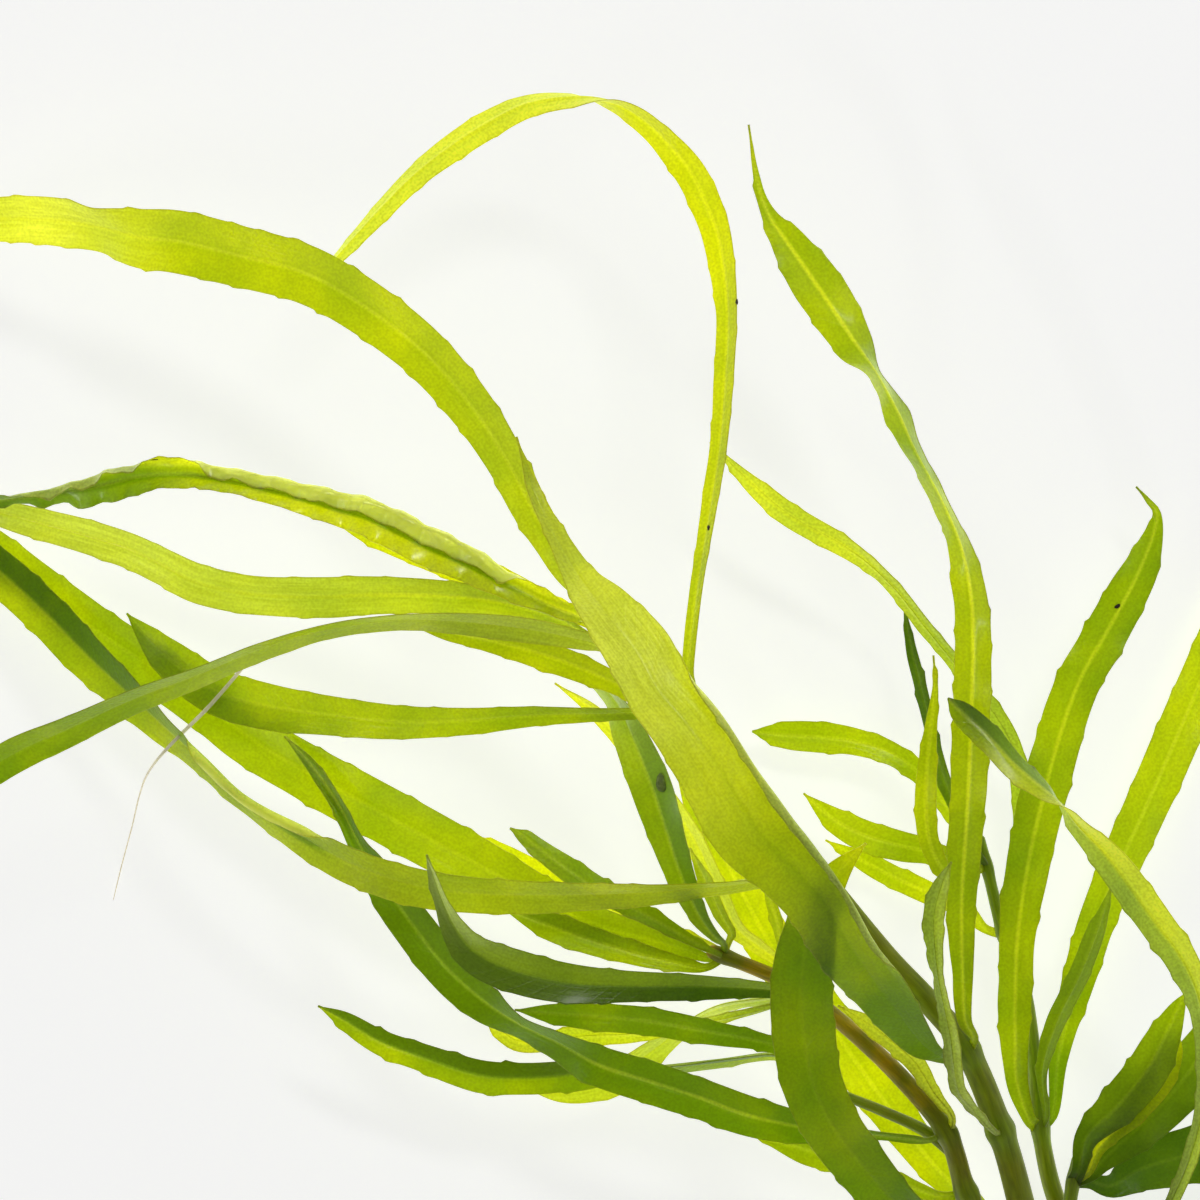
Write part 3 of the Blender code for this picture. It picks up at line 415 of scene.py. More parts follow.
def leaf_finish(name, bright, deep, underside, rib, edge, glow, deep_glow, rib_glow):
    """Leaf skin that sends light back in its own colour and lets the light behind it through."""
    material, tree, place = blank_material(name)
    tissue = wired(tree, "Group", [
        ("Bright", bright), ("Deep", deep), ("Underside", underside), ("Rib", rib), ("Edge", edge),
        ("Bloom_and_sheen", BLOOM_AND_SHEEN_COLOUR), ("Grain", 0.14), ("Streaks", 0.12)], node_tree=leaf_tissue).outputs
    skin = wired(tree, "BsdfPrincipled", [
        ("Base Color", tissue["Colour"]), ("Roughness", tissue["Roughness"]),
        ("Specular IOR Level", 0.22), ("Coat Weight", told_by(tree, "wet")), ("Coat Roughness", 0.2),
        ("Normal", raised(tree, tissue["Height"], 0.35, 0.00012))])
    tone = told_by(tree, "tone")
    off_rib = spread(tree, figured(tree, "ABSOLUTE", told_by(tree, "across_mm")), 0.0, 3.0, 0.0, 1.0)
    flank_glow = tuple(0.8 * a + 0.2 * b for a, b in zip(glow, deep_glow))
    ribbed = shaded(tree, off_rib, (
        (0.0, rib_glow), (0.08, rib_glow), (0.18, flank_glow), (0.36, glow), (1.0, glow)))
    light = mixed(tree, told_by(tree, "rib"), glow, ribbed)
    blotches = noise(tree, place, BLOTCH_SCALE, BLOTCH_DETAIL)
    # Tone, with its painted shade, also dims the light let through.
    age_and_shade = figured(tree, "ADD", swung(tree, blotches, -0.16, 0.16), tone, use_clamp=True)
    light = mixed(tree, age_and_shade, light, deep_glow)
    cells = swung(tree, noise(tree, place, CELL_SCALE, CELL_DETAIL), 0.93, 1.06)
    dimmer = spread(tree, tone, 1.0, 2.0, 1.0, 0.5)
    light = brightened(tree, light, figured(tree, "MULTIPLY", cells, dimmer))
    # Where bloom and painted sheen lie, less light passes through.
    light = mixed(tree, told_by(tree, "bloom_and_sheen"), light, BLOOM_AND_SHEEN_GLOW)
    through = wired(tree, "BsdfTranslucent", [("Color", light)])
    both = wired(tree, "AddShader", [(0, skin.outputs[0]), (1, through.outputs[0])])
    wired(tree, "OutputMaterial", [("Surface", both.outputs[0])])
    return material


leaf_tissue = leaf_tissue_group()
fresh_leaf = leaf_finish(
    "fresh_leaf", bright=(0.14, 0.17, 0.006), deep=(0.05, 0.095, 0.002),
    underside=(0.38, 0.44, 0.085), rib=(0.26, 0.28, 0.04), edge=(0.13, 0.10, 0.01),
    glow=(0.581, 0.585, 0.0), deep_glow=(0.265, 0.35, 0.0), rib_glow=(0.649, 0.642, 0.0226))
dark_leaf = leaf_finish(
    "dark_leaf", bright=(0.08, 0.12, 0.006), deep=(0.025, 0.045, 0.002),
    underside=(0.17, 0.24, 0.07), rib=(0.14, 0.18, 0.02), edge=(0.06, 0.06, 0.01),
    glow=(0.423, 0.491, 0.0), deep_glow=(0.151, 0.226, 0.0), rib_glow=(0.483, 0.536, 0.00755))


def leaf_line(whorl, turn, route):
    """The blade's centre line: out of the stem's skin, up a short neck and along its route."""
    stem, place = WHORLS[whorl]
    line = stem_lines[stem]
    foot_radius, top_radius = STEM_SIZES[stem]
    share = nearest_share(line, place)
    before, centre, after = at_shares(
        line, [max(0, share - WHORL_SPAN), share, min(1, share + WHORL_SPAN)])
    _, up, left = (v[0] for v in upright_frames((after - before)[None, :]))
    outward = up * math.cos(math.radians(turn)) + left * math.sin(math.radians(turn))
    radius = foot_radius + (top_radius - foot_radius) * share
    route = [as_placed(point) for point in route]
    away = np.array(route[0][:3]) - centre
    away = away / np.linalg.norm(away)
    root = centre + outward * radius * NECK_SINK
    base = root + (outward * OUTWARD_AT_NECK + away) * radius * NECK_LENGTH
    far = np.linalg.norm(np.array(route[0][:3]) - base)
    rise = outward * OUTWARD_AT_RISE + away
    rise = base + rise / np.linalg.norm(rise) * min(LEAF_RISE, far * RISE_SHARE)
    neck = (route[0][3] * NECK_NARROWING, route[0][4])
    return smooth_route([(*root, *neck), (*base, *neck), (*rise, *neck)] + route)


def toothed(chance, along, length, height):
    """How far a margin stands out at each place along it: small teeth that point to the tip."""
    out = np.zeros_like(along)
    at = length * TOOTHED_FROM + chance.uniform(0, FIRST_TOOTH_LAG)
    while at < length * TOOTHED_TO:
        off = along - at
        tall = height * chance.uniform(*TOOTH_SIZES)
        back = (1 + off / TOOTH_BACK).clip(0, 1) ** TOOTH_HOLLOW
        front = (1 - off / TOOTH_FRONT).clip(0, 1)
        out += tall * np.where((off > -TOOTH_BACK) & (off <= 0), back, 0)
        out += tall * np.where((off > 0) & (off < TOOTH_FRONT), front, 0)
        at += chance.uniform(*TOOTH_GAPS)
    return out


def told_along(values, wanted):
    """A number at each place along a leaf, from one number or a row of them from foot to tip."""
    values = (values, values) if isinstance(values, float) else values
    return np.interp(wanted, np.linspace(0, 1, len(values)), values)[:, None]


def on_both_faces(numbers):
    return np.concatenate([numbers, numbers[:, ::-1]], axis=1)


def leaf_blade(name, whorl, turn, route, finish=fresh_leaf, roll=0, tone=0.4, wave=0.16,
               wave_length=17, teeth=0.35, curls=(), under_up=False, cup=0.0, rib=0.6,
               painted_half_shades=(0.0, 0.0), bloom_and_sheen=0.0, wet=0.0):
    """One leaf. Its route gives x, y, height and width, and its roll where that changes.

    A curl is (side, first and last route point, its start across, degrees, growth)."""
    chance = random.Random(name)
    route = [(*point, roll) if len(point) == 4 else point for point in route]
    line = leaf_line(whorl, turn, route)
    shares, length = shares_along(line)
    count = int(length / LEAF_STEP)
    wanted = np.linspace(0, 1, count + 1)
    stations = at_shares(line, wanted)
    centres = stations[:, :3]
    along = wanted * length
    half = np.maximum(stations[:, 3], LEAST_WIDTH) / 2
    rolled = np.radians(stations[:, 4])[:, None]
    ahead, up, left = upright_frames(np.gradient(centres, axis=0))
    face = up * np.cos(rolled) + left * np.sin(rolled)
    across = np.cross(face, ahead)
    grown = (along / PLAIN_FOOT).clip(0, 1) * ((length - along) / PLAIN_TIP).clip(0, 1)
    sheets = []
    # Each half takes the leaf's tone plus its painted half shade, and curls then add more painted
    # shade and sheen.
    for side, painted_half_shade in zip((1, -1), painted_half_shades):
        tone_and_shade = told_along(tone, wanted) + (
            told_along(painted_half_shade, wanted) * (ACROSS / HALF_SHADE_START).clip(0, 1))
        # Bloom along the blade: pale wax, and painted sheen and highlights.
        wax_and_sheen = told_along(bloom_and_sheen, wanted) * np.ones(len(ACROSS))
        bend = np.radians(BLADE_FOLD + cup * ACROSS)[None, :] * np.ones((count + 1, 1))
        broad = half.copy()
        for curl_side, first, last, start, degrees, growth in curls:
            begin, end = (shares[min(int((NECK_POINTS + point) * SAMPLES_PER_SPAN), len(shares) - 1)]
                          for point in (first, last))
            ease = CURL_EASE * (end - begin)
            rise = ((wanted - begin) / ease).clip(0, 1) * ((end - wanted) / ease).clip(0, 1)
            rise = (rise * rise * (3 - 2 * rise))[:, None]
            # A curl paints shade along the midrib under its free edge, on both halves, and paints its
            # flap lighter with a pale sheen.
            extra_growth = growth - 1
            if curl_side != side:
                tone_and_shade = tone_and_shade + rise * np.interp(ACROSS, OTHER_HALF_SHADE, [CURL_SHADE * extra_growth, 0.0])
                continue
            broad = broad * (1 + extra_growth * rise[:, 0])
            tone_and_shade = tone_and_shade + rise * np.interp(
                ACROSS, [0.0, 0.15, start, start + CURL_FADE],
                [CURL_SHADE * extra_growth, 0.2 * extra_growth, 0.0, -extra_growth])
            wax_and_sheen = wax_and_sheen + rise * np.interp(ACROSS, [start, start + CURL_FADE], [0.0, extra_growth])
            bend = bend + np.radians(degrees) * rise * (
                (ACROSS - start) / min(CURL_SPAN, 1 - start)).clip(0, 1)[None, :]
        middle = (bend[:, 1:] + bend[:, :-1]) / 2
        steps = np.diff(ACROSS)[None, :]
        zero = np.zeros((count + 1, 1))
        reach = np.concatenate([zero, np.cumsum(np.cos(middle) * steps, axis=1)], axis=1)
        rise = np.concatenate([zero, np.cumsum(np.sin(middle) * steps, axis=1)], axis=1)
        phase = chance.uniform(0, PHASE_LIMIT)
        fine = np.sin(2 * np.pi * along / (wave_length * FINE_WAVE_LENGTH) + 2 * phase)
        ripple = (np.sin(2 * np.pi * along / wave_length + phase)
                  + FINE_WAVE_HEIGHT * fine) * wave * grown
        tooth = toothed(chance, along, length, teeth) + FRILL_SHARE * ripple
        tooth = tooth[:, None] * ACROSS[None, :] ** TOOTH_POWER
        ripple = (ripple[:, None]
                  * (half[:, None] / WAVE_WIDTH).clip(NARROW_BLADE_WAVE, BROAD_BLADE_WAVE)
                  * ACROSS[None, :] ** WAVE_POWER)
        out = broad[:, None] * reach + tooth * np.cos(bend) - ripple * np.sin(bend)
        high = broad[:, None] * rise + tooth * np.sin(bend) + ripple * np.cos(bend)
        points = (centres[:, None] + across[:, None] * (side * out)[:, :, None]
                  + face[:, None] * high[:, :, None])
        normals = (face[:, None] * np.cos(bend)[:, :, None]
                   - across[:, None] * (side * np.sin(bend))[:, :, None])
        sheets.append((points, normals, tone_and_shade, wax_and_sheen.clip(0, 1)))
    points, normals, tone_and_shade, wax_and_sheen = (
        np.concatenate([one[:, ::-1], other[:, 1:]], axis=1) for one, other in zip(*sheets))
    u = np.concatenate([ACROSS[::-1], -ACROSS[1:]])
    off_rib = u[None, :] * half[:, None]
    sheet = (BLADE_THICKNESS / 2 * (1 - MARGIN_THINNING * u ** 2)[None, :]
             * (1 + FOOT_THICKENING * np.exp(-along / FOOT_REACH))[:, None])
    keel_height = (KEEL_HEIGHT - KEEL_HEIGHT_LOSS * wanted)[:, None]
    keel_width = (KEEL_WIDTH - KEEL_WIDTH_LOSS * wanted)[:, None]
    keel = keel_height * np.exp(-(off_rib / keel_width) ** 2)
    groove = (GROOVE_DEPTH * rib * np.exp(-(off_rib / GROOVE_WIDTH) ** 2)
              * (half[:, None] / 2).clip(0, 1))
    over, under = (sheet + keel, sheet - groove) if under_up else (sheet - groove, sheet + keel)
    top = points + normals * over[:, :, None]
    bottom = points - normals * under[:, :, None]
    rings = lifted_clear(np.concatenate([top, bottom[:, ::-1]], axis=1))
    faces = np.concatenate([np.full(len(u), float(under_up)), np.full(len(u), 1.0 - under_up)])
    edge = (1 - np.abs(u))[None, :] * half[:, None]
    # The tone numbers carry the painted half and curl shade, and the bloom numbers the painted sheen.
    piece = skinned(name.removeprefix("leaf_") + "_blade", rings, {
        "across_mm": on_both_faces(off_rib), "edge_mm": on_both_faces(edge),
        "along_mm": along[:, None], "underside": faces[None, :], "rib": np.array([[rib]]),
        "tone": on_both_faces(tone_and_shade), "bloom_and_sheen": on_both_faces(wax_and_sheen),
        "wet": told_along(wet, wanted)}, finish)
    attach(piece, "root")
    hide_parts(name)
    return {"top": top, "normals": normals}


leaf_blade("leaf_foot_trailing", "main_foot", -70, [
    (85, -128.5, 4.8, 3.2), (91, -134, 4.2, 4.8), (97.5, -142, 2.6, 5.6), (101, -149, 0.8, 4.6),
    (103, -155, 0, 2.4), (104, -160, 0, 0)],
    finish=dark_leaf, tone=0.3)
leaf_blade("leaf_foot_back", "main_foot", 75, [
    (67.5, -133, 5.2, 3.2), (62, -139, 4.6, 4.8), (57, -147, 2.8, 5.4), (54, -154, 0.8, 4.4),
    (52.5, -159, 0, 2.2), (52, -163, 0, 0)],
    finish=dark_leaf, tone=0.3)
leaf_blade("leaf_foot_left", "main_low", 85, [
    (62, -119, 7.5, 3.2), (54, -123.5, 6.5, 5), (44, -128, 4.5, 6), (34, -130.5, 2.2, 5),
    (26, -131, 0, 3), (20, -130.5, 0, 0)],
    finish=dark_leaf, tone=0.2)
leaf_blade("leaf_foot_right", "main_low", -80, [
    (80, -111.5, 6.8, 3.4), (90, -108.5, 5.5, 5.6), (102, -107.5, 3.4, 6.4), (112, -108.5, 1.2, 5),
    (119, -110, 0, 2.6), (124, -111.5, 0, 0)],
    finish=dark_leaf, tone=0.3)
leaf_blade("leaf_foot_over", "main_fork", 100, [
    (58, -108, 13, 3, 0), (48, -111.5, 14, 5.6, 0), (36, -113.3, 13.5, 6.2, 5),
    (25, -111.5, 11.8, 4.4, 10), (15, -107, 9, 0, 10)],
    tone=0.5)
leaf_blade("leaf_front_low", "main_fork", 50, [
    (55.5, -100.5, 19.5, 4, 20), (51, -96.8, 24, 6, 20), (47.3, -93.3, 27.5, 7, 15),
    (43.2, -89.3, 31, 7.8, 15), (38.7, -84, 34.5, 8.6, 10), (34.8, -78.8, 37.5, 9, 5),
    (31.7, -72, 40, 9.4, 0), (30.5, -64.5, 41.7, 9.7, 0), (30.2, -57.8, 43.5, 9.5, 0),
    (30.9, -51.8, 46, 8.6, 0), (32.7, -45.8, 48.8, 6.6, 0), (35.7, -40.8, 50.5, 4, 0),
    (39.9, -36.5, 51, 0, 0)],
    tone=(1.9, 1.7, 1.1, 0.8, 0.8, 0.9, 0.1), cup=6, wave=0.15, rib=0.25)
leaf_blade("leaf_behind", "main_fork", 155, [
    (57.8, -93, 9, 3.6), (49.5, -84, 9.5, 5.6), (42, -74.3, 10, 7), (34.5, -63.8, 11, 7.5),
    (27, -54, 12.5, 7.6), (20.3, -42, 14, 7), (15, -30.8, 15.5, 5), (10.8, -22.2, 17, 0)],
    tone=(0.4, 0.3, 0.3))

# Middle leaves of the main stem
# The young long blades above the fork, and a short one beside them on the left branch. The
# upright one twists twice on its way. The broad one stands nearest the eye, its right margin
# turned up so that its pale underside shows.
leaf_blade("leaf_left_stub", "left_0", 100, [
    (48, -88.5, 17.5, 2.4), (37.5, -84.5, 19, 4), (30, -82.2, 20.5, 4.2), (22.5, -80, 22, 0)],
    roll=10, tone=0.6)
leaf_blade("leaf_twisted", "main_0", 10, [
    (55.8, -76, 29.5, 1.8, 30), (53.7, -72.8, 33, 2.6, 30), (52.7, -65.3, 35.2, 3.3, 40),
    (51.2, -57.8, 36.2, 3.2, 62), (50.4, -52.5, 36.8, 3.2, 40), (50.1, -47.3, 37.2, 3.4, 15),
    (51.2, -42.8, 37.5, 2.6, 15), (52.7, -39.3, 38.5, 0, 15)],
    tone=(1.3, 1.0, 0.9, 0.8, 0.9), under_up=True, wave=0.3, wave_length=5, rib=0.5,
    painted_half_shades=(0.4, -0.2), bloom_and_sheen=(0.1, 0.15, 0.1, 0.1, 0.2), wet=0.3)
leaf_blade("leaf_upright", "main_1", -35, [
    (54.8, -63, 30, 2.4, 30), (54.5, -57.8, 30.5, 3.2, 20), (54.3, -45, 31, 4.6, 10),
    (55.2, -30, 31.5, 5.5, 5), (55.8, -15, 32, 5.7, 5), (56, -6, 32.5, 5.6, 5),
    (55.6, 1.5, 33, 5.4, 25), (54.2, 8.3, 33.5, 5.3, 50), (51.4, 15, 34, 5.2, 66),
    (47.4, 22.5, 34.5, 5.2, 60), (45, 27.8, 35, 5.3, 50), (41.7, 34, 35.5, 5.5, 70),
    (38.4, 38.6, 36, 6.5, 30), (35.2, 43.3, 36, 7.4, 5), (31.6, 48.6, 36.5, 7.4, 0),
    (28.1, 53.6, 37, 5.4, -5), (25.2, 58, 37.5, 2.2, 0), (23.4, 63.8, 38, 1.1, 0),
    (22.3, 71.3, 39, 0, 0)],
    tone=(0.5, 0.3, 0.2, 0.2, 0.3, 0.25, 0.4), wave=0.22, wave_length=13, rib=0.9,
    wet=(0.2, 0.4, 1.0, 0.4), painted_half_shades=(0.3, 0.3))
# The pale stripes two thirds of the way along it are painted sheen.
leaf_blade("leaf_front_broad", "main_1", 60, [
    (50.3, -68, 32, 3, 30), (47.7, -65.9, 34, 5.4, 25), (43.2, -59.9, 40.5, 8.2, 20),
    (37.8, -52.5, 47, 10.2, 12), (33.2, -44.9, 52, 10.9, 5), (28.2, -39.2, 55, 11.8, 0),
    (23.1, -33.6, 57, 13.8, 0), (17.6, -24.6, 58.5, 12.8, 0), (13.1, -18.6, 58.5, 12.2, -15),
    (8.6, -13.5, 58, 11, -20), (5.3, -7.7, 57, 10.6, -20), (0.8, -1.7, 55.5, 8.4, -20),
    (-3, 3.2, 52, 5.6, -25), (-6.8, 9.8, 49.5, 3.4, -30), (-10.1, 16.5, 47.8, 2, -30),
    (-12.5, 24.5, 47, 0, -30)],
    tone=(1.1, 0.9, 0.55, 0.3, 0.2, 0.25, 0.1), wave=0.2, wave_length=26, rib=0.0,
    bloom_and_sheen=(0.0, 0.0, 0.0, 0.0, 0.25, 0.45, 0.2, 0.0), curls=[(-1, 2, 10, 0.6, 190, 1.06)],
    wet=(0.0, 0.0, 0.2, 0.3, 0.2, 0.2, 0.2, 0.1))
leaf_blade("leaf_long_left", "main_2", 60, [
    (28.5, -41.3, 37.3, 3, 60), (22.5, -42.3, 38.3, 4.4, 68), (15, -43.2, 39, 5, 60),
    (0, -44.1, 38.5, 5.6, 42), (-20, -44, 37, 6.1, 22), (-34, -41, 36, 6.4, 25),
    (-45, -35.3, 33, 6.5, 46), (-53, -30, 30.5, 6.5, 65), (-59.3, -24.3, 27.6, 6.6, 62),
    (-65.3, -19, 24.2, 6.7, 50), (-71, -13.8, 20.6, 6.8, 32), (-77, -8.3, 17, 6.9, 15),
    (-82.5, -2.7, 14, 6.9, 5), (-90, 4.2, 10.2, 6.6, 0), (-96.8, 9.8, 7, 4.6, 0),
    (-101.5, 13, 5.4, 0, 0)],
    tone=(0.4, 0.35, 0.4, 0.45, 0.5, 0.5, 0.5), rib=0.3, wave=0.1,
    painted_half_shades=(0.0, (0.0, 0.0, 0.0, 0.5, 0.7)), bloom_and_sheen=(0.0, 0.08, 0.05, 0.0, 0.0),
    curls=[(-1, 5.5, 8.5, 0.55, 165, 1.5)])

# Leaves of the hooped whorl
# Three narrow blades near the main stem's tip. The longest arches up, over and back down.
hoop = leaf_blade("leaf_hoop", "main_3", -50, [
    (13.3, -9.8, 42.8, 2.2, 35), (14.6, 1.5, 42, 2.6, 45), (16.5, 13.5, 40.5, 3.1, 42),
    (17.9, 22.5, 40, 3.4, 40), (18.8, 33, 39, 3.8, 40), (19.2, 43.5, 38, 4.2, 40),
    (18, 53.3, 37, 4.8, 28), (16, 59.3, 36, 5, 15), (13.4, 64.5, 35.3, 5, 20),
    (9.3, 69.5, 34.5, 4.9, 42), (5.4, 72.8, 34, 4.7, 52), (1.5, 74.7, 33.5, 4.6, 76),
    (-3.8, 75.3, 33, 4.5, 118), (-10.5, 74.4, 32, 4.5, 143), (-16.5, 71.6, 31, 4.6, 163),
    (-22.5, 67.8, 30, 4.5, 160), (-27.8, 63.6, 29, 4.2, 150), (-33, 58.4, 28, 3.8, 142),
    (-39.5, 51.3, 26.5, 2.8, 130), (-43.8, 47, 25, 0, 130)],
    tone=(0.3, 0.25, 0.15, 0.0, 0.0, 0.1, 0.2), wave=0.08, teeth=0.25, rib=0.5)
leaf_blade("leaf_blade", "main_3", 110, [
    (7.5, -16.8, 37, 2.6, 50), (0, -17, 36, 2.8, 45), (-10, -17.3, 35.3, 3.6, 30),
    (-20, -18, 34, 4.6, 25), (-30, -18.2, 31.8, 5.4, 15), (-40, -17.3, 28.6, 6.2, 10),
    (-49.5, -16, 24.8, 7.2, 5), (-57.8, -13.6, 21.3, 7.2, 0), (-64.5, -8.8, 18.8, 5.8, 0),
    (-68.3, -5, 18, 3, 0), (-71, -2, 17.4, 0, 0)],
    tone=(0.6, 0.55, 0.55, 0.6, 0.65), wave=0.08, teeth=0.2, rib=0.4)
leaf_blade("leaf_low_left", "main_3", 45, [
    (7.5, -15, 42, 2.6, 20), (0, -11.4, 42.5, 4, 20), (-6, -9, 43, 4.5, 15),
    (-12, -7.2, 43, 4.3, 10), (-18, -5.6, 43, 3.6, 10), (-24, -4.2, 43, 2.8, 10),
    (-30, -3, 43, 0, 10)],
    tone=(0.4, 0.35, 0.4), wet=0.1)

# Crown leaves
# The five blades of the topmost whorl fan out to the left over the rest. One has its upper
# half folded over and frilled, and the nearest is a smooth strap seen almost edge on.
# The pale patch near its tip, and a fainter one at its foot, are painted highlight.
leaf_blade("leaf_arc", "main_top", -84, [
    (-4.4, 3.2, 44.5, 4.1, 50), (-7.4, 8.8, 44.5, 5.3, 20), (-10.4, 14, 44.3, 6, 20),
    (-13.7, 20.4, 44, 6.3, 18), (-18.2, 27.6, 43.3, 7, 15), (-23.6, 34.3, 42.5, 7.7, 15),
    (-29.1, 39.5, 41.5, 8.1, 12), (-36.8, 45, 40, 8.5, 10), (-44.5, 49.1, 38, 9, 10),
    (-54, 51.6, 35.5, 9.4, 8), (-63, 53.7, 32.5, 9.6, 5), (-69, 54.4, 30.5, 9.2, 15),
    (-75, 56, 28, 8.3, 42), (-81, 56.9, 25.5, 7.8, 20), (-90, 57.2, 21, 7, 15),
    (-97.5, 55.8, 17, 5, 10), (-103.5, 53.3, 13, 0, 10)],
    tone=(0.5, 0.4, 0.3, 0.35, 0.2, 0.3), wave=0.07, teeth=0.4, rib=0.5,
    bloom_and_sheen=(0.2, 0.1, 0.0, 0.0, 0.0, 0.5, 0.0))
curled = leaf_blade("leaf_curled", "main_top", -130, [
    (-5.5, -1.6, 40.4, 3, -20), (-14, 2.3, 40.3, 4.8, -15), (-20, 5.6, 40, 6.4, -15),
    (-26, 8.3, 39.5, 7.1, -15), (-34, 12.2, 38.5, 6.8, -18), (-40, 14, 37.5, 6.1, -20),
    (-49.5, 16.5, 36, 5, -25), (-56, 17.9, 34.5, 4.7, -30), (-63, 18.8, 33.2, 5.4, -30),
    (-69, 18.5, 32, 5.9, -20), (-74, 17.4, 31, 6, 0), (-79, 16.5, 30, 5, 25),
    (-84, 15.8, 29, 3.4, 40), (-90, 15, 27.8, 2.2, 40), (-96, 14, 26.6, 0, 40)],
    tone=(0.1, 0.1, 0.0, 0.25, 0.9, 1.2), wave=0.7, wave_length=6.5, rib=1.0,
    curls=[(-1, 0, 9, 0.3, 195, 1.8), (-1, 8, 13, 0.3, 120, 1.3)], wet=0.6)
leaf_blade("leaf_under", "main_top", 175, [
    (-5, -1.6, 37, 2.2), (-12, 1.5, 35.8, 4), (-18, 3.8, 35, 4.8), (-24, 6, 34, 4.6),
    (-30, 8.3, 33, 4), (-35.3, 10.2, 32, 3), (-41, 12.6, 31, 0)],
    tone=(0.1, 0.0, 0.0), wet=0.3)
# Its paler stretch, from a quarter of the way along to the tip, is painted sheen.
leaf_blade("leaf_wavy", "main_top", 125, [
    (-6, -3, 39.6, 2.2, 30), (-14, -0.5, 38, 4, 20), (-23, 0.6, 36.8, 5.2, 15),
    (-34, 0.8, 35.5, 6, 10), (-42, 0.5, 34.5, 6.4, 10), (-52, 0.9, 33, 6.2, 15),
    (-60, 2.5, 31.5, 6.2, 10), (-65.3, 5.1, 30.5, 6, 20), (-70.5, 7.6, 29.3, 5.8, 20),
    (-77.3, 9.7, 27.6, 5.4, 10), (-83.3, 11.3, 26, 5, 10), (-90, 13.2, 24.5, 4.4, 20),
    (-96, 14.6, 23, 3.2, 20), (-101.3, 15, 21, 0, 20)],
    tone=(0.5, 0.6, 0.6, 0.6), wave=0.1, teeth=0.25, rib=0.9, cup=5,
    bloom_and_sheen=(0.0, 0.15, 0.35, 0.45, 0.3), wet=0.6)
leaf_blade("leaf_strap", "main_top", 40, [
    (-1.5, -6.2, 46.3, 3, 30), (-10, -4.5, 48, 4.3, 30), (-20, -3.3, 49, 4.8, 46),
    (-30, -2.9, 49.5, 5, 62), (-40.5, -4.2, 49.5, 5.2, 64), (-50, -7, 49, 5.4, 61),
    (-60, -11, 48, 5.6, 57), (-70, -14.8, 46.5, 5.8, 51), (-80, -19.4, 44.5, 6, 42),
    (-87, -22.6, 42.8, 6, 30), (-94.5, -27, 40.5, 5.6, 20), (-102, -32.4, 38, 3.6, 10),
    (-106.5, -36.8, 36, 0, 10)],
    tone=(0.35, 0.45, 0.65, 0.8, 0.9), teeth=0.1, wave=0.05, rib=0.15,
    bloom_and_sheen=(0.3, 0.08, 0.0, 0.0, 0.0, 0.0), wet=(0.6, 0.3, 0.0, 0.0))

# Left branch leaves
# Blades of the brown left branch and its green side shoot, which lie in a loose fan.
# They are older and greener, and on several one half of the blade is painted darker as shade.
leaf_blade("leaf_left_long", "left_1", 75, [
    (47, -80.9, 24.5, 1.4, 20), (42, -80.3, 26, 1.6, 35), (37.5, -80, 27, 3.4, 35),
    (30, -79, 28.5, 5.2, 15), (22, -77.2, 29.8, 6.4, 10), (15, -74.6, 30.5, 6.6, 15),
    (7.5, -72.2, 30.5, 6.7, 10), (0, -69.8, 30, 6.6, 15), (-6, -66.5, 29.5, 6.4, 45),
    (-12, -63.6, 29, 6.2, 55), (-17.6, -60, 29, 6.6, 25), (-23.3, -54.8, 29, 6.8, 12),
    (-28.4, -48.3, 29, 6.6, 12), (-32.4, -42.4, 28, 6, 24), (-36, -36.6, 26.8, 4.4, 50),
    (-39, -30.8, 25.8, 3.4, 50), (-43.2, -24.8, 24.6, 2.2, 30), (-47.3, -20.5, 23.7, 0, 20)],
    tone=(0.8, 0.75, 0.7, 0.75, 0.9, 1.0, 1.1, 0.7, 0.3), wave=0.1, rib=1.0,
    curls=[(1, 13, 16, 0.5, 90, 1.0)], painted_half_shades=(0.25, 0.25))
leaf_blade("leaf_left_short", "left_1", -60, [
    (50, -73.8, 25, 2), (47.3, -69.5, 27, 3), (43.5, -66, 29, 3.1), (39.8, -63.3, 30.5, 2.5),
    (35.7, -60.8, 32, 0)],
    tone=(0.2, 0.1), under_up=True)
leaf_blade("leaf_shoot_upper", "shoot_top", 15, [
    (25.5, -66.6, 27.5, 2.6), (15, -64.5, 30.5, 4), (6, -63, 32.5, 4.5), (-1.5, -62.4, 33.5, 4.1),
    (-7.5, -62, 34, 3), (-12.8, -61.5, 34.5, 0)],
    roll=10, tone=(1.0, 1.0, 0.9, 1.0))
leaf_blade("leaf_shoot_lower", "shoot_top", 150, [
    (25.5, -68.4, 22.5, 2, 60), (18, -69.3, 21.5, 3.4, 68), (9, -70.2, 20.5, 4.4, 69),
    (1.5, -70.6, 19.5, 5, 44), (-3.8, -71.1, 18.8, 5.2, 22), (-10.5, -71.7, 18, 5.2, 12),
    (-18, -71.3, 18, 5.2, 10), (-26.3, -68.7, 18.3, 4.6, 10), (-33, -66.2, 18.8, 4, 10),
    (-38.3, -63, 19.5, 2.8, 10), (-42.3, -60.9, 20, 0, 10)],
    tone=(0.7, 1.1, 1.2, 1.0, 0.9), teeth=0.45, painted_half_shades=(-0.4, 0.4))
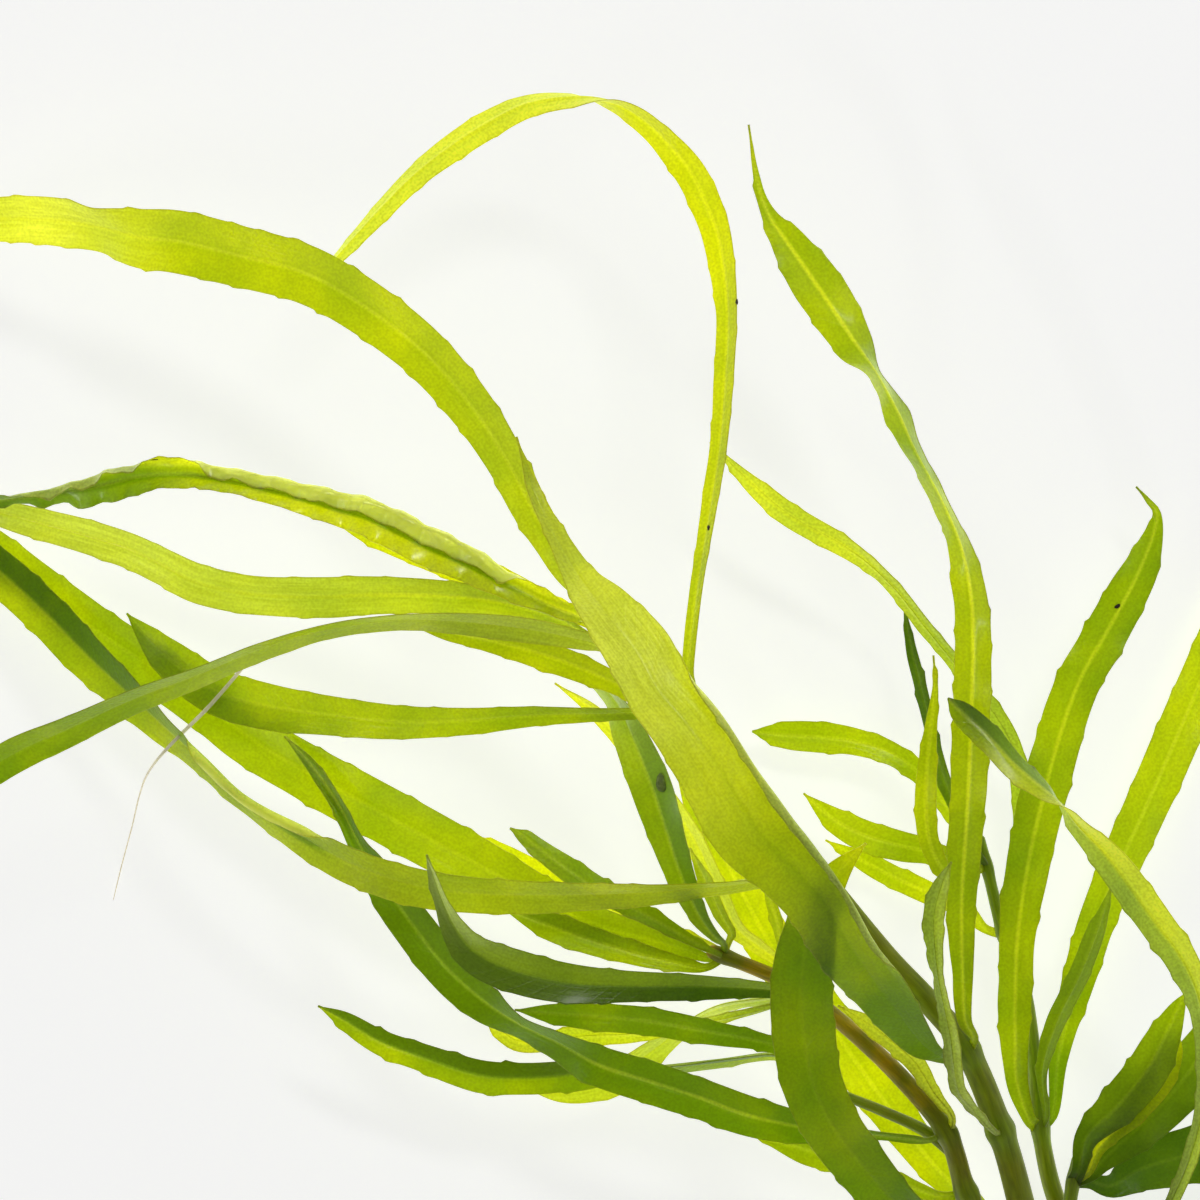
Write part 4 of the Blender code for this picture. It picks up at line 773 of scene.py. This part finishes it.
leaf_blade("leaf_grey", "left_2", 115, [
    (24, -61.2, 24.5, 1.6, 50), (15, -63.3, 23.8, 2.5, 50), (6, -64.8, 23.5, 3, 30),
    (-3, -65.4, 23.5, 3.1, 10), (-8.3, -66.3, 23, 3.1, 0), (-12.8, -66, 22.5, 3, 0),
    (-15.8, -63.3, 22.5, 2.4, 0), (-17.7, -60.8, 22.5, 0, 0)],
    tone=(0.5, 0.3, 0.2, 0.2), under_up=True)
leaf_blade("leaf_hook", "left_2", 30, [
    (25.5, -58.4, 32.5, 2.8, 30), (15, -57.9, 35.5, 4.2, 20), (3, -57.8, 37.5, 5.2, 10),
    (-6, -57.2, 39, 6.4, 5), (-13.5, -55.2, 40.5, 7, 10), (-18.8, -52.5, 42, 6.4, 20),
    (-21.8, -48.8, 44, 4.6, 30), (-23.6, -45, 46, 3, 40), (-24.9, -41.3, 48, 2, 45),
    (-26, -38.3, 50, 0, 45)],
    finish=dark_leaf, tone=(0.3, 0.5, 0.6, 0.5, 0.3), cup=10, rib=0.3, painted_half_shades=(0.6, -0.2),
    bloom_and_sheen=(0.0, 0.0, 0.08, 0.1, 0.35), wet=0.3)
leaf_blade("leaf_rising", "left_2", -120, [
    (24, -52, 27, 3), (20.3, -48.8, 26.5, 3.6), (16.8, -41.3, 26, 4.2), (13.2, -34.2, 25.5, 4.4),
    (6.8, -25.5, 25, 4), (0, -17.3, 24.5, 2.8), (-6.8, -12.5, 24, 0)],
    roll=40, tone=(0.1, 0.0, 0.0), bloom_and_sheen=0.2)
leaf_blade("leaf_sliver", "left_2", -68, [
    (27.5, -52, 30, 1.6), (26.6, -48, 30.8, 2), (25.6, -45, 31.5, 1.6), (24.5, -42, 32.2, 0)],
    roll=30, tone=0.4)
leaf_blade("leaf_drooping", "left_2", 165, [
    (25.2, -59.9, 24, 2.4, 60), (18.3, -61, 20.5, 3.4, 65), (13.5, -63.3, 16.5, 4.4, 60),
    (7.5, -67.8, 12.5, 5, 35), (1.5, -72.2, 10.5, 5, 20), (-5.3, -73.8, 9.5, 3.6, 20),
    (-11.3, -73.2, 9, 0, 20)],
    tone=(0.7, 0.5, 0.5), bloom_and_sheen=0.25)
leaf_blade("leaf_wide_left", "left_top", 145, [
    (13, -52.6, 29.5, 2.4, 0), (9, -51.3, 29, 4, 5), (0, -48.8, 28, 5.6, 5),
    (-9, -44.8, 27, 7, 5), (-18, -39.8, 26, 8.2, 5), (-27, -35, 24.8, 8.8, 5),
    (-36, -30.1, 23.5, 8.8, 5), (-45, -25.2, 22, 8.6, 5), (-52, -21, 20.5, 8.4, 5),
    (-58.8, -16, 18.8, 8, 5), (-66, -10.8, 16.8, 7.8, 5), (-73.5, -6, 14.5, 7.6, 5),
    (-81, -0.6, 11.5, 7.3, 0), (-90, 6.4, 7.5, 7, 0), (-97.5, 12, 3.2, 6, 0),
    (-103.5, 18, -0.8, 3.4, 0), (-106.5, 20.3, -1, 0, 0)],
    tone=(0.7, 0.45, 0.5, 0.55, 0.5, 0.3), wave=0.15, teeth=0.4, rib=0.35)
leaf_blade("leaf_below_wide", "left_top", -162, [
    (13, -50.5, 26, 2), (9, -49.2, 24.5, 3), (0, -45.8, 22.5, 4.2), (-9, -41.7, 20.8, 4.8),
    (-16.5, -37.8, 19.5, 4), (-24, -34.5, 18.5, 0)],
    tone=(0.1, 0.0, 0.0))
leaf_blade("leaf_between", "left_top", 97, [
    (13.5, -54.9, 30.3, 2), (6, -53.2, 30.7, 3.6), (-1.5, -51, 30.3, 4.4), (-8.3, -48.6, 29.6, 4),
    (-15, -46, 28.9, 0)],
    tone=(0.6, 0.5, 0.5))
leaf_blade("leaf_pointed", "left_top", 0, [
    (14, -51.3, 34, 1.6), (6, -46.8, 34.5, 3.2), (-1.5, -42.8, 34, 4), (-7.5, -38.6, 33.5, 3.5),
    (-11.3, -35.7, 33, 2.3), (-13.5, -34.2, 32.5, 0)],
    roll=-20, tone=(0.7, 0.7), teeth=0.4)
straight = leaf_blade("leaf_straight", "left_top", -50, [
    (17.2, -50.4, 34.5, 1.8, 30), (15, -47.5, 35.5, 3, 25), (12.3, -41.6, 36, 4.6, 20),
    (10, -34.8, 36, 5.7, 15), (7.8, -28, 35.5, 6.6, 15), (4.7, -20.3, 34, 6, 30),
    (2.3, -15, 32.5, 4.8, 58), (-2, -11, 31.2, 3.4, 60), (-8, -8.2, 30.2, 0, 40)],
    tone=(1.0, 0.8, 0.8, 1.0, 1.2), rib=1.0, teeth=0.2, wave=0.06, painted_half_shades=(-0.15, 0.25),
    bloom_and_sheen=(0.0, 0.0, 0.0, 0.2, 0.5), wet=(0.3, 0.6, 1.0, 1.0))
leaf_blade("leaf_inner", "left_top", -105, [
    (19.8, -50, 30.5, 1.6), (18.3, -47.3, 30.3, 2.4), (15.8, -42, 30, 2.8), (13.5, -37.2, 29.5, 0)],
    roll=40, tone=(0.5, 0.3))

# Right branch leaves
# The short right branch ends in a dark tuft near the table, and one long pale blade climbs
# from it, twists over near the top and folds its tip across the upright leaf.
leaf_blade("leaf_right_upper", "right_top", -10, [
    (73, -80.6, 19, 3.8), (77.3, -76.2, 20.5, 6), (81.6, -71.2, 21.5, 6.6), (84.3, -66.2, 22.3, 5.6),
    (86.6, -61.3, 23, 2.6), (88, -58.8, 23.3, 0)],
    roll=5, finish=dark_leaf, tone=(0.9, 0.6, 0.3, 0.0), teeth=0.45)
leaf_blade("leaf_right_inner", "right_top", -50, [
    (75, -82, 18.3, 2.2), (79.5, -77.4, 18.8, 3.8), (83.3, -72.2, 19.4, 5.2), (85.6, -67.6, 20, 4),
    (86.5, -64.2, 20.4, 0)],
    tone=(0.3, 0.1, 0.0, 0.0), painted_half_shades=(-0.2, 0.2))
leaf_blade("leaf_right_outer", "right_top", -85, [
    (75.5, -84, 16.3, 3.6), (79.5, -80.2, 16.5, 6.6), (84.3, -75.6, 16.2, 8), (88.2, -71, 15.6, 8),
    (91.6, -66, 15, 6.6), (96.4, -60, 14.2, 4), (100.5, -55.8, 13.5, 0)],
    roll=5, finish=dark_leaf, tone=(0.9, 0.7, 0.5, 0.1))
leaf_blade("leaf_right_low", "right_top", -125, [
    (76.8, -87.8, 12.5, 4), (81, -85.4, 10.6, 7), (86, -83.8, 8.6, 8.6), (92, -82.6, 6.2, 8.8),
    (99, -81.4, 3.6, 7), (107, -81, 0.4, 3.6), (112, -81.6, 0, 0)],
    finish=dark_leaf, tone=(1.0, 1.0, 1.0))
leaf_blade("leaf_right_under", "right_0", -120, [
    (77, -93.6, 12.5, 4), (83, -93.6, 11.3, 6.4), (91, -95, 9.8, 6.6), (100.5, -98, 8, 0)],
    finish=dark_leaf, tone=(1.0, 1.0))
climbing = leaf_blade("leaf_right_climbing", "right_0", -66, [
    (79, -94.8, 17, 2.4, 40), (84, -93, 20, 2.6, 45), (87.5, -87, 23, 3, 50),
    (90, -79.5, 26, 3.5, 50), (91.2, -72, 28.5, 4, 50), (91, -64.5, 30.3, 4.6, 44),
    (89.6, -58.5, 31.7, 5, 38), (87, -53.3, 33, 5.2, 20), (83.3, -48.3, 34, 5.4, 10),
    (79.5, -43, 35, 5.4, 5), (75.8, -38, 35.8, 5, 25), (72, -33.9, 36.3, 4.6, 53),
    (69.9, -31.2, 36.2, 4.4, 80), (66.8, -28.5, 36, 4.4, 130), (62.3, -24.8, 35.6, 4.4, 147),
    (58.5, -20.7, 35.2, 4.4, 160), (55.5, -18, 34.9, 4.2, 165), (53.6, -16.2, 35, 3, 165),
    (52.2, -14.7, 35.2, 0, 165)],
    tone=(1.4, 1.3, 0.9, 0.7, 0.6, 0.4, 0.4, 0.4, 1.1), under_up=True, teeth=0.45, rib=1.0,
    painted_half_shades=(0.45, -0.2), bloom_and_sheen=(0.05, 0.05, 0.12, 0.1, 0.0), wet=(0.1, 0.2, 0.2, 0.3, 0.3))

# Back branch leaves
# The far branch lies lowest, and its blades spread behind all the others.
tall = leaf_blade("leaf_back_tall", "back_1", 40, [
    (62.5, -72, 12.5, 3.6, 10), (62.3, -66, 13, 4.6, 10), (62.3, -60, 13.3, 5.2, 10),
    (62.7, -50, 13.5, 5.8, 10), (64.5, -38.3, 13.5, 7, 10), (66.6, -29.3, 13.5, 7.3, 10),
    (69, -20.3, 13.3, 7.2, 10), (72, -12, 13, 6.8, 10), (76.2, -4.5, 12.5, 7, 5),
    (80.1, 2.7, 12, 6, 5), (82.5, 8.3, 11.5, 4, 5), (83.6, 12.8, 11.3, 1.5, 5),
    (82.2, 15, 11, 0.8, 5), (80.4, 17, 11, 0, 5)],
    tone=(0.45, 0.4, 0.4, 0.5, 0.6), wave=0.35, teeth=0.4, painted_half_shades=(0.25, 0.25))
leaf_blade("leaf_back_outer", "back_1", -100, [
    (68.8, -68.5, 8.3, 3), (71.3, -58.5, 8, 5), (74.3, -48.8, 7.5, 5.8), (77.7, -40.2, 7, 6.4),
    (81.8, -31.2, 6, 7), (86.3, -21, 4.8, 7.2), (90.8, -10.5, 3.2, 7), (95.3, 0, 1.6, 6.4),
    (99.3, 9, 0, 4), (102, 15, 0, 0)],
    tone=(0.9, 0.6, 0.4, 0.3))
leaf_blade("leaf_back_folded", "back_1", -30, [
    (66.4, -70.5, 12.6, 2.2), (68.7, -63, 15, 3.6), (72, -56.3, 16.3, 3.8), (74.7, -49.5, 17.3, 3.2),
    (76.8, -42.8, 18, 0)],
    roll=40, finish=dark_leaf, tone=0.4)
leaf_blade("leaf_back_sweep", "back_2", -100, [
    (63, -41.5, 8, 2, 10), (63.3, -30, 9.5, 3, 10), (61.8, -21.8, 11.3, 3, 10),
    (57.8, -15, 13, 3, 20), (53.3, -9.3, 14.5, 3, 40), (48.8, -3.8, 16, 3, 45),
    (44.6, 1.5, 17, 3, 45), (40.2, 5.7, 18, 3.2, 40), (35.4, 8.9, 18.5, 3.6, 25),
    (29.1, 12.3, 19, 3.8, 10), (24.6, 15.8, 19.5, 3.2, 10), (19.5, 20.7, 20, 1.4, 30),
    (16.5, 23.7, 20, 0, 30)],
    tone=(0.9, 0.8, 0.5, 0.3, 0.2), under_up=True)
leaf_blade("leaf_back_low", "back_2", 110, [
    (54.8, -46.3, 6, 2.5, 10), (49.5, -44, 4.8, 3.6, 0), (44.3, -41.7, 3.8, 3.6, 0),
    (39.3, -39, 3, 3, 0), (33.8, -36, 2.2, 0, 0)],
    tone=(0.4, 0.3))
leaf_blade("leaf_back_dark", "back_top", 0, [
    (54.6, -34.5, 12, 1.6), (51.3, -25.8, 13.3, 2.4), (49.7, -19.5, 13.6, 2.3),
    (48, -12.3, 13.6, 2.1), (46.5, -6, 13.2, 1.6), (45.5, 0, 12.7, 0)],
    roll=30, finish=dark_leaf, tone=(0.8, 0.9))
leaf_blade("leaf_back_curved", "back_top", 52, [
    (54.3, -42, 14, 2), (51.3, -40.2, 16, 2.8), (49.4, -36, 18, 3.2), (48.9, -30.8, 19.5, 3.3),
    (49.1, -24.8, 20.5, 3), (49.7, -18.8, 21, 2), (50.3, -13.5, 21, 0.9), (50, -8.3, 21, 0)],
    roll=10, tone=(0.5, 0.3, 0.4))
leaf_blade("leaf_back_flat", "back_top", 160, [
    (54.8, -35, 6.8, 2), (51.3, -30, 7, 3), (47.7, -25.8, 7, 3.3), (43.2, -22.8, 6.8, 3.6),
    (38, -21.2, 6.5, 4.4), (33, -20.6, 6, 4.9), (28.2, -20.3, 5.5, 4.3), (24.8, -20, 5.2, 2.3),
    (22.8, -19.7, 5, 0)],
    tone=(0.7, 0.5, 0.6))
leaf_blade("leaf_back_shade", "back_top", 105, [
    (53.7, -39.8, 9.5, 2.4), (49.5, -37.8, 9.8, 4), (45, -36.8, 9.8, 4.8), (39.8, -35.3, 9.5, 5),
    (35.3, -33, 9, 4), (30.5, -29, 8.5, 0)],
    roll=10, tone=(0.8, 0.4, 0.4))

# Lump and specks
# Dirt left on the blades: a dark glossy lump of slime on the straight one and a few brown specks.
# Each sits on the face of its leaf, a little sunk into it.
BEAD_SIDES, BEAD_RINGS, BEAD_SINK = 20, 9, 0.08
BEAD_FOOT, BEAD_TOP = -0.15, 1.5
SPECK_HEIGHT = 0.16


def spot_on(leaf, x, y):
    """The point of a leaf's upper face that an eye above sees at a place, and its normal."""
    top, normals = leaf["top"], leaf["normals"]
    nearness = 1 - (top[:, :, 2] - SIGHT_PLANE_HEIGHT) / SIGHT_DISTANCE
    off = np.hypot(top[:, :, 0] / nearness - x, top[:, :, 1] / nearness - y)
    row, column = np.unravel_index(off.argmin(), off.shape)
    normal = normals[row, column]
    return top[row, column], normal / np.linalg.norm(normal) * (1 if normal[2] > 0 else -1)


def bead(name, leaf, x, y, long, wide, high, turn, material):
    """A low uneven dome, its length turned by some degrees from the plant's X."""
    chance = random.Random(name)
    middle, normal = spot_on(leaf, x, y)
    lengthways = np.array([math.cos(math.radians(turn)), math.sin(math.radians(turn)), 0.0])
    lengthways -= normal * (lengthways @ normal)
    lengthways /= np.linalg.norm(lengthways)
    sideways = np.cross(normal, lengthways)
    around = np.linspace(0, 2 * np.pi, BEAD_SIDES, endpoint=False)
    outline = (1 + 0.12 * np.sin(2 * around + chance.uniform(0, 6))
               + 0.09 * np.sin(3 * around + chance.uniform(0, 6)))
    oval = (lengthways * (np.cos(around) * long / 2)[:, None]
            + sideways * (np.sin(around) * wide / 2)[:, None])
    rings = [middle + normal * (-BEAD_SINK + high * math.sin(slope))
             + oval * (outline * math.cos(slope))[:, None]
             for slope in np.linspace(BEAD_FOOT, BEAD_TOP, BEAD_RINGS)]
    piece = skinned(name, np.array(rings), {}, material)
    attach(piece, "root")


def speck_material(name, dark, light, roughness):
    material, tree, place = blank_material(name)
    mottle = noise(tree, place, 1500.0, 4.0)
    speck = wired(tree, "BsdfPrincipled", [
        ("Base Color", mixed(tree, mottle, dark, light)),
        ("Roughness", swung(tree, mottle, roughness, roughness + 0.15)),
        ("Normal", raised(tree, mottle, 0.6, 0.0002))])
    wired(tree, "OutputMaterial", [("Surface", speck.outputs[0])])
    return material


brown_speck = speck_material("brown_speck", (0.015, 0.01, 0.006), (0.08, 0.045, 0.015), 0.5)
wet_lump = speck_material("wet_lump", (0.03, 0.05, 0.01), (0.34, 0.42, 0.14), 0.06)
bead("wet_lump", straight, 9.3, -27.4, 2.6, 1.7, 1.1, 100, wet_lump)
for number, (leaf, x, y, long, wide, turn) in enumerate((
        (hoop, 16.2, 11.2, 0.9, 0.7, 95), (hoop, 20.8, 44.4, 0.9, 0.5, 80),
        (climbing, 65.1, -25.2, 0.6, 0.4, 60), (tall, 77.6, -0.6, 1.0, 0.7, 30),
        (curled, -67.0, 21.0, 1.2, 0.4, 20)), start=1):
    bead("speck_%d" % number, leaf, x, y, long, wide, SPECK_HEIGHT, turn, brown_speck)

# Root thread
# One fine pale root that grew from a leaf's wound, draped over the left blades to the table.
# It is glassy and stiff where it starts, and thins out to a hair.
ROOT_ROUTE = [
    (-53.3, -9.8, 26, 0.5), (-58.5, -15.8, 25, 0.6), (-64.5, -21.8, 27, 0.5), (-67.6, -25.6, 21, 0.35),
    (-69, -29, 14, 0.26), (-70.2, -34, 7, 0.22), (-71.8, -40, 1, 0.2), (-73, -45, 0.2, 0.12)]
ROOT_SIDES, ROOT_RINGS = 8, 90


def root_material():
    material, tree, place = blank_material("root_skin")
    mottle = noise(tree, place, 900.0, 3.0)
    colour = mixed(tree, mottle, (0.80, 0.74, 0.58), (0.92, 0.90, 0.82))
    skin = wired(tree, "BsdfPrincipled", [
        ("Base Color", colour), ("Roughness", swung(tree, mottle, 0.2, 0.4)),
        ("Normal", raised(tree, mottle, 0.4, 0.0001))])
    through = wired(tree, "BsdfTranslucent", [("Color", colour)])
    both = wired(tree, "MixShader", [(0, 0.6), (1, skin.outputs[0]), (2, through.outputs[0])])
    wired(tree, "OutputMaterial", [("Surface", both.outputs[0])])
    return material


root_line = smooth_route([as_placed(point) for point in ROOT_ROUTE])
root_stations = at_shares(root_line, np.linspace(0, 1, ROOT_RINGS))
_, root_up, root_left = upright_frames(np.gradient(root_stations[:, :3], axis=0))
root_around = np.linspace(0, 2 * np.pi, ROOT_SIDES, endpoint=False)
root_rings = (root_stations[:, None, :3] + root_stations[:, 3][:, None, None] / 2
              * ring_round(root_up, root_left, root_around))
root_thread = skinned("root_thread", lifted_clear(root_rings), {}, root_material())
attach(root_thread, "root")

# Table top, light and camera
# A plain pale sheet that glows faintly, a big soft lamp high on each side, and the camera
# a metre above the plant, looking straight down as the photograph does.
FLOOR_WIDTH, FLOOR_DROP = 6.0, 0.0002
FLOOR_GLOW_SEEN, FLOOR_GLOW_GIVEN = 0.76, 1.75
WALL_GLOW, CEILING_GLOW = 0.25, 0.05


def floor_sheet():
    mesh = bpy.data.meshes.new("floor")
    half = FLOOR_WIDTH / 2
    mesh.from_pydata([(-half, -half, 0), (half, -half, 0), (half, half, 0), (-half, half, 0)], [],
                     [(0, 1, 2, 3)])
    material, tree, place = blank_material("pale_sheet")
    fibres = noise(tree, place, 900.0, 3.0)
    rays = wired(tree, "LightPath").outputs
    seen = figured(tree, "MAXIMUM", rays["Is Camera Ray"], rays["Is Glossy Ray"])
    sheet = wired(tree, "BsdfPrincipled", [
        ("Base Color", (0.42, 0.42, 0.41)), ("Roughness", spread(tree, fibres, 0.0, 1.0, 0.8, 0.95)),
        ("Specular IOR Level", 0.1), ("Emission Color", (1.0, 1.0, 1.0)),
        ("Emission Strength", spread(tree, seen, 0.0, 1.0, FLOOR_GLOW_GIVEN, FLOOR_GLOW_SEEN))])
    wired(tree, "OutputMaterial", [("Surface", sheet.outputs[0])])
    mesh.materials.append(material)
    floor = bpy.data.objects.new("floor", mesh)
    floor.location = (0, 0, -FLOOR_DROP)
    bpy.context.collection.objects.link(floor)
    return floor


floor_sheet()


def soft_lamp(name, place, size, power):
    """A round lamp that faces the middle of the table."""
    lamp = bpy.data.lights.new(name, "AREA")
    lamp.shape = "DISK"
    lamp.size = size
    lamp.energy = power
    holder = bpy.data.objects.new(name, lamp)
    holder.location = place
    towards = -np.array(place) / np.linalg.norm(place)
    holder.rotation_euler = (math.acos(-towards[2]), 0, math.atan2(towards[0], -towards[1]))
    bpy.context.collection.objects.link(holder)


soft_lamp("key_lamp", (0.45, 0.9, 1.5), 0.6, 14)
soft_lamp("side_lamp", (-0.95, -0.35, 1.2), 0.6, 9)

world = bpy.data.worlds.new("studio")
world.use_nodes = True
sky = wired(world.node_tree, "TexCoord").outputs["Generated"]
sky = wired(world.node_tree, "SeparateXYZ", [(0, sky)]).outputs["Z"]
background = world.node_tree.nodes["Background"].inputs
glow = spread(world.node_tree, sky, 0.45, 0.8, WALL_GLOW, CEILING_GLOW)
world.node_tree.links.new(glow, background["Strength"])
background["Color"].default_value = (1, 1, 1, 1)
bpy.context.scene.world = world
bpy.context.scene.view_settings.view_transform = "Standard"

lens = bpy.data.cameras.new("camera")
lens.lens = 200
lens.sensor_width = 36
lens.clip_end = 20
camera = bpy.data.objects.new("camera", lens)
camera.location = (-FOOTPRINT_MIDDLE[0] * MM, -FOOTPRINT_MIDDLE[1] * MM,
                   (SIGHT_DISTANCE + SIGHT_PLANE_HEIGHT) * MM)
bpy.context.collection.objects.link(camera)
bpy.context.scene.camera = camera
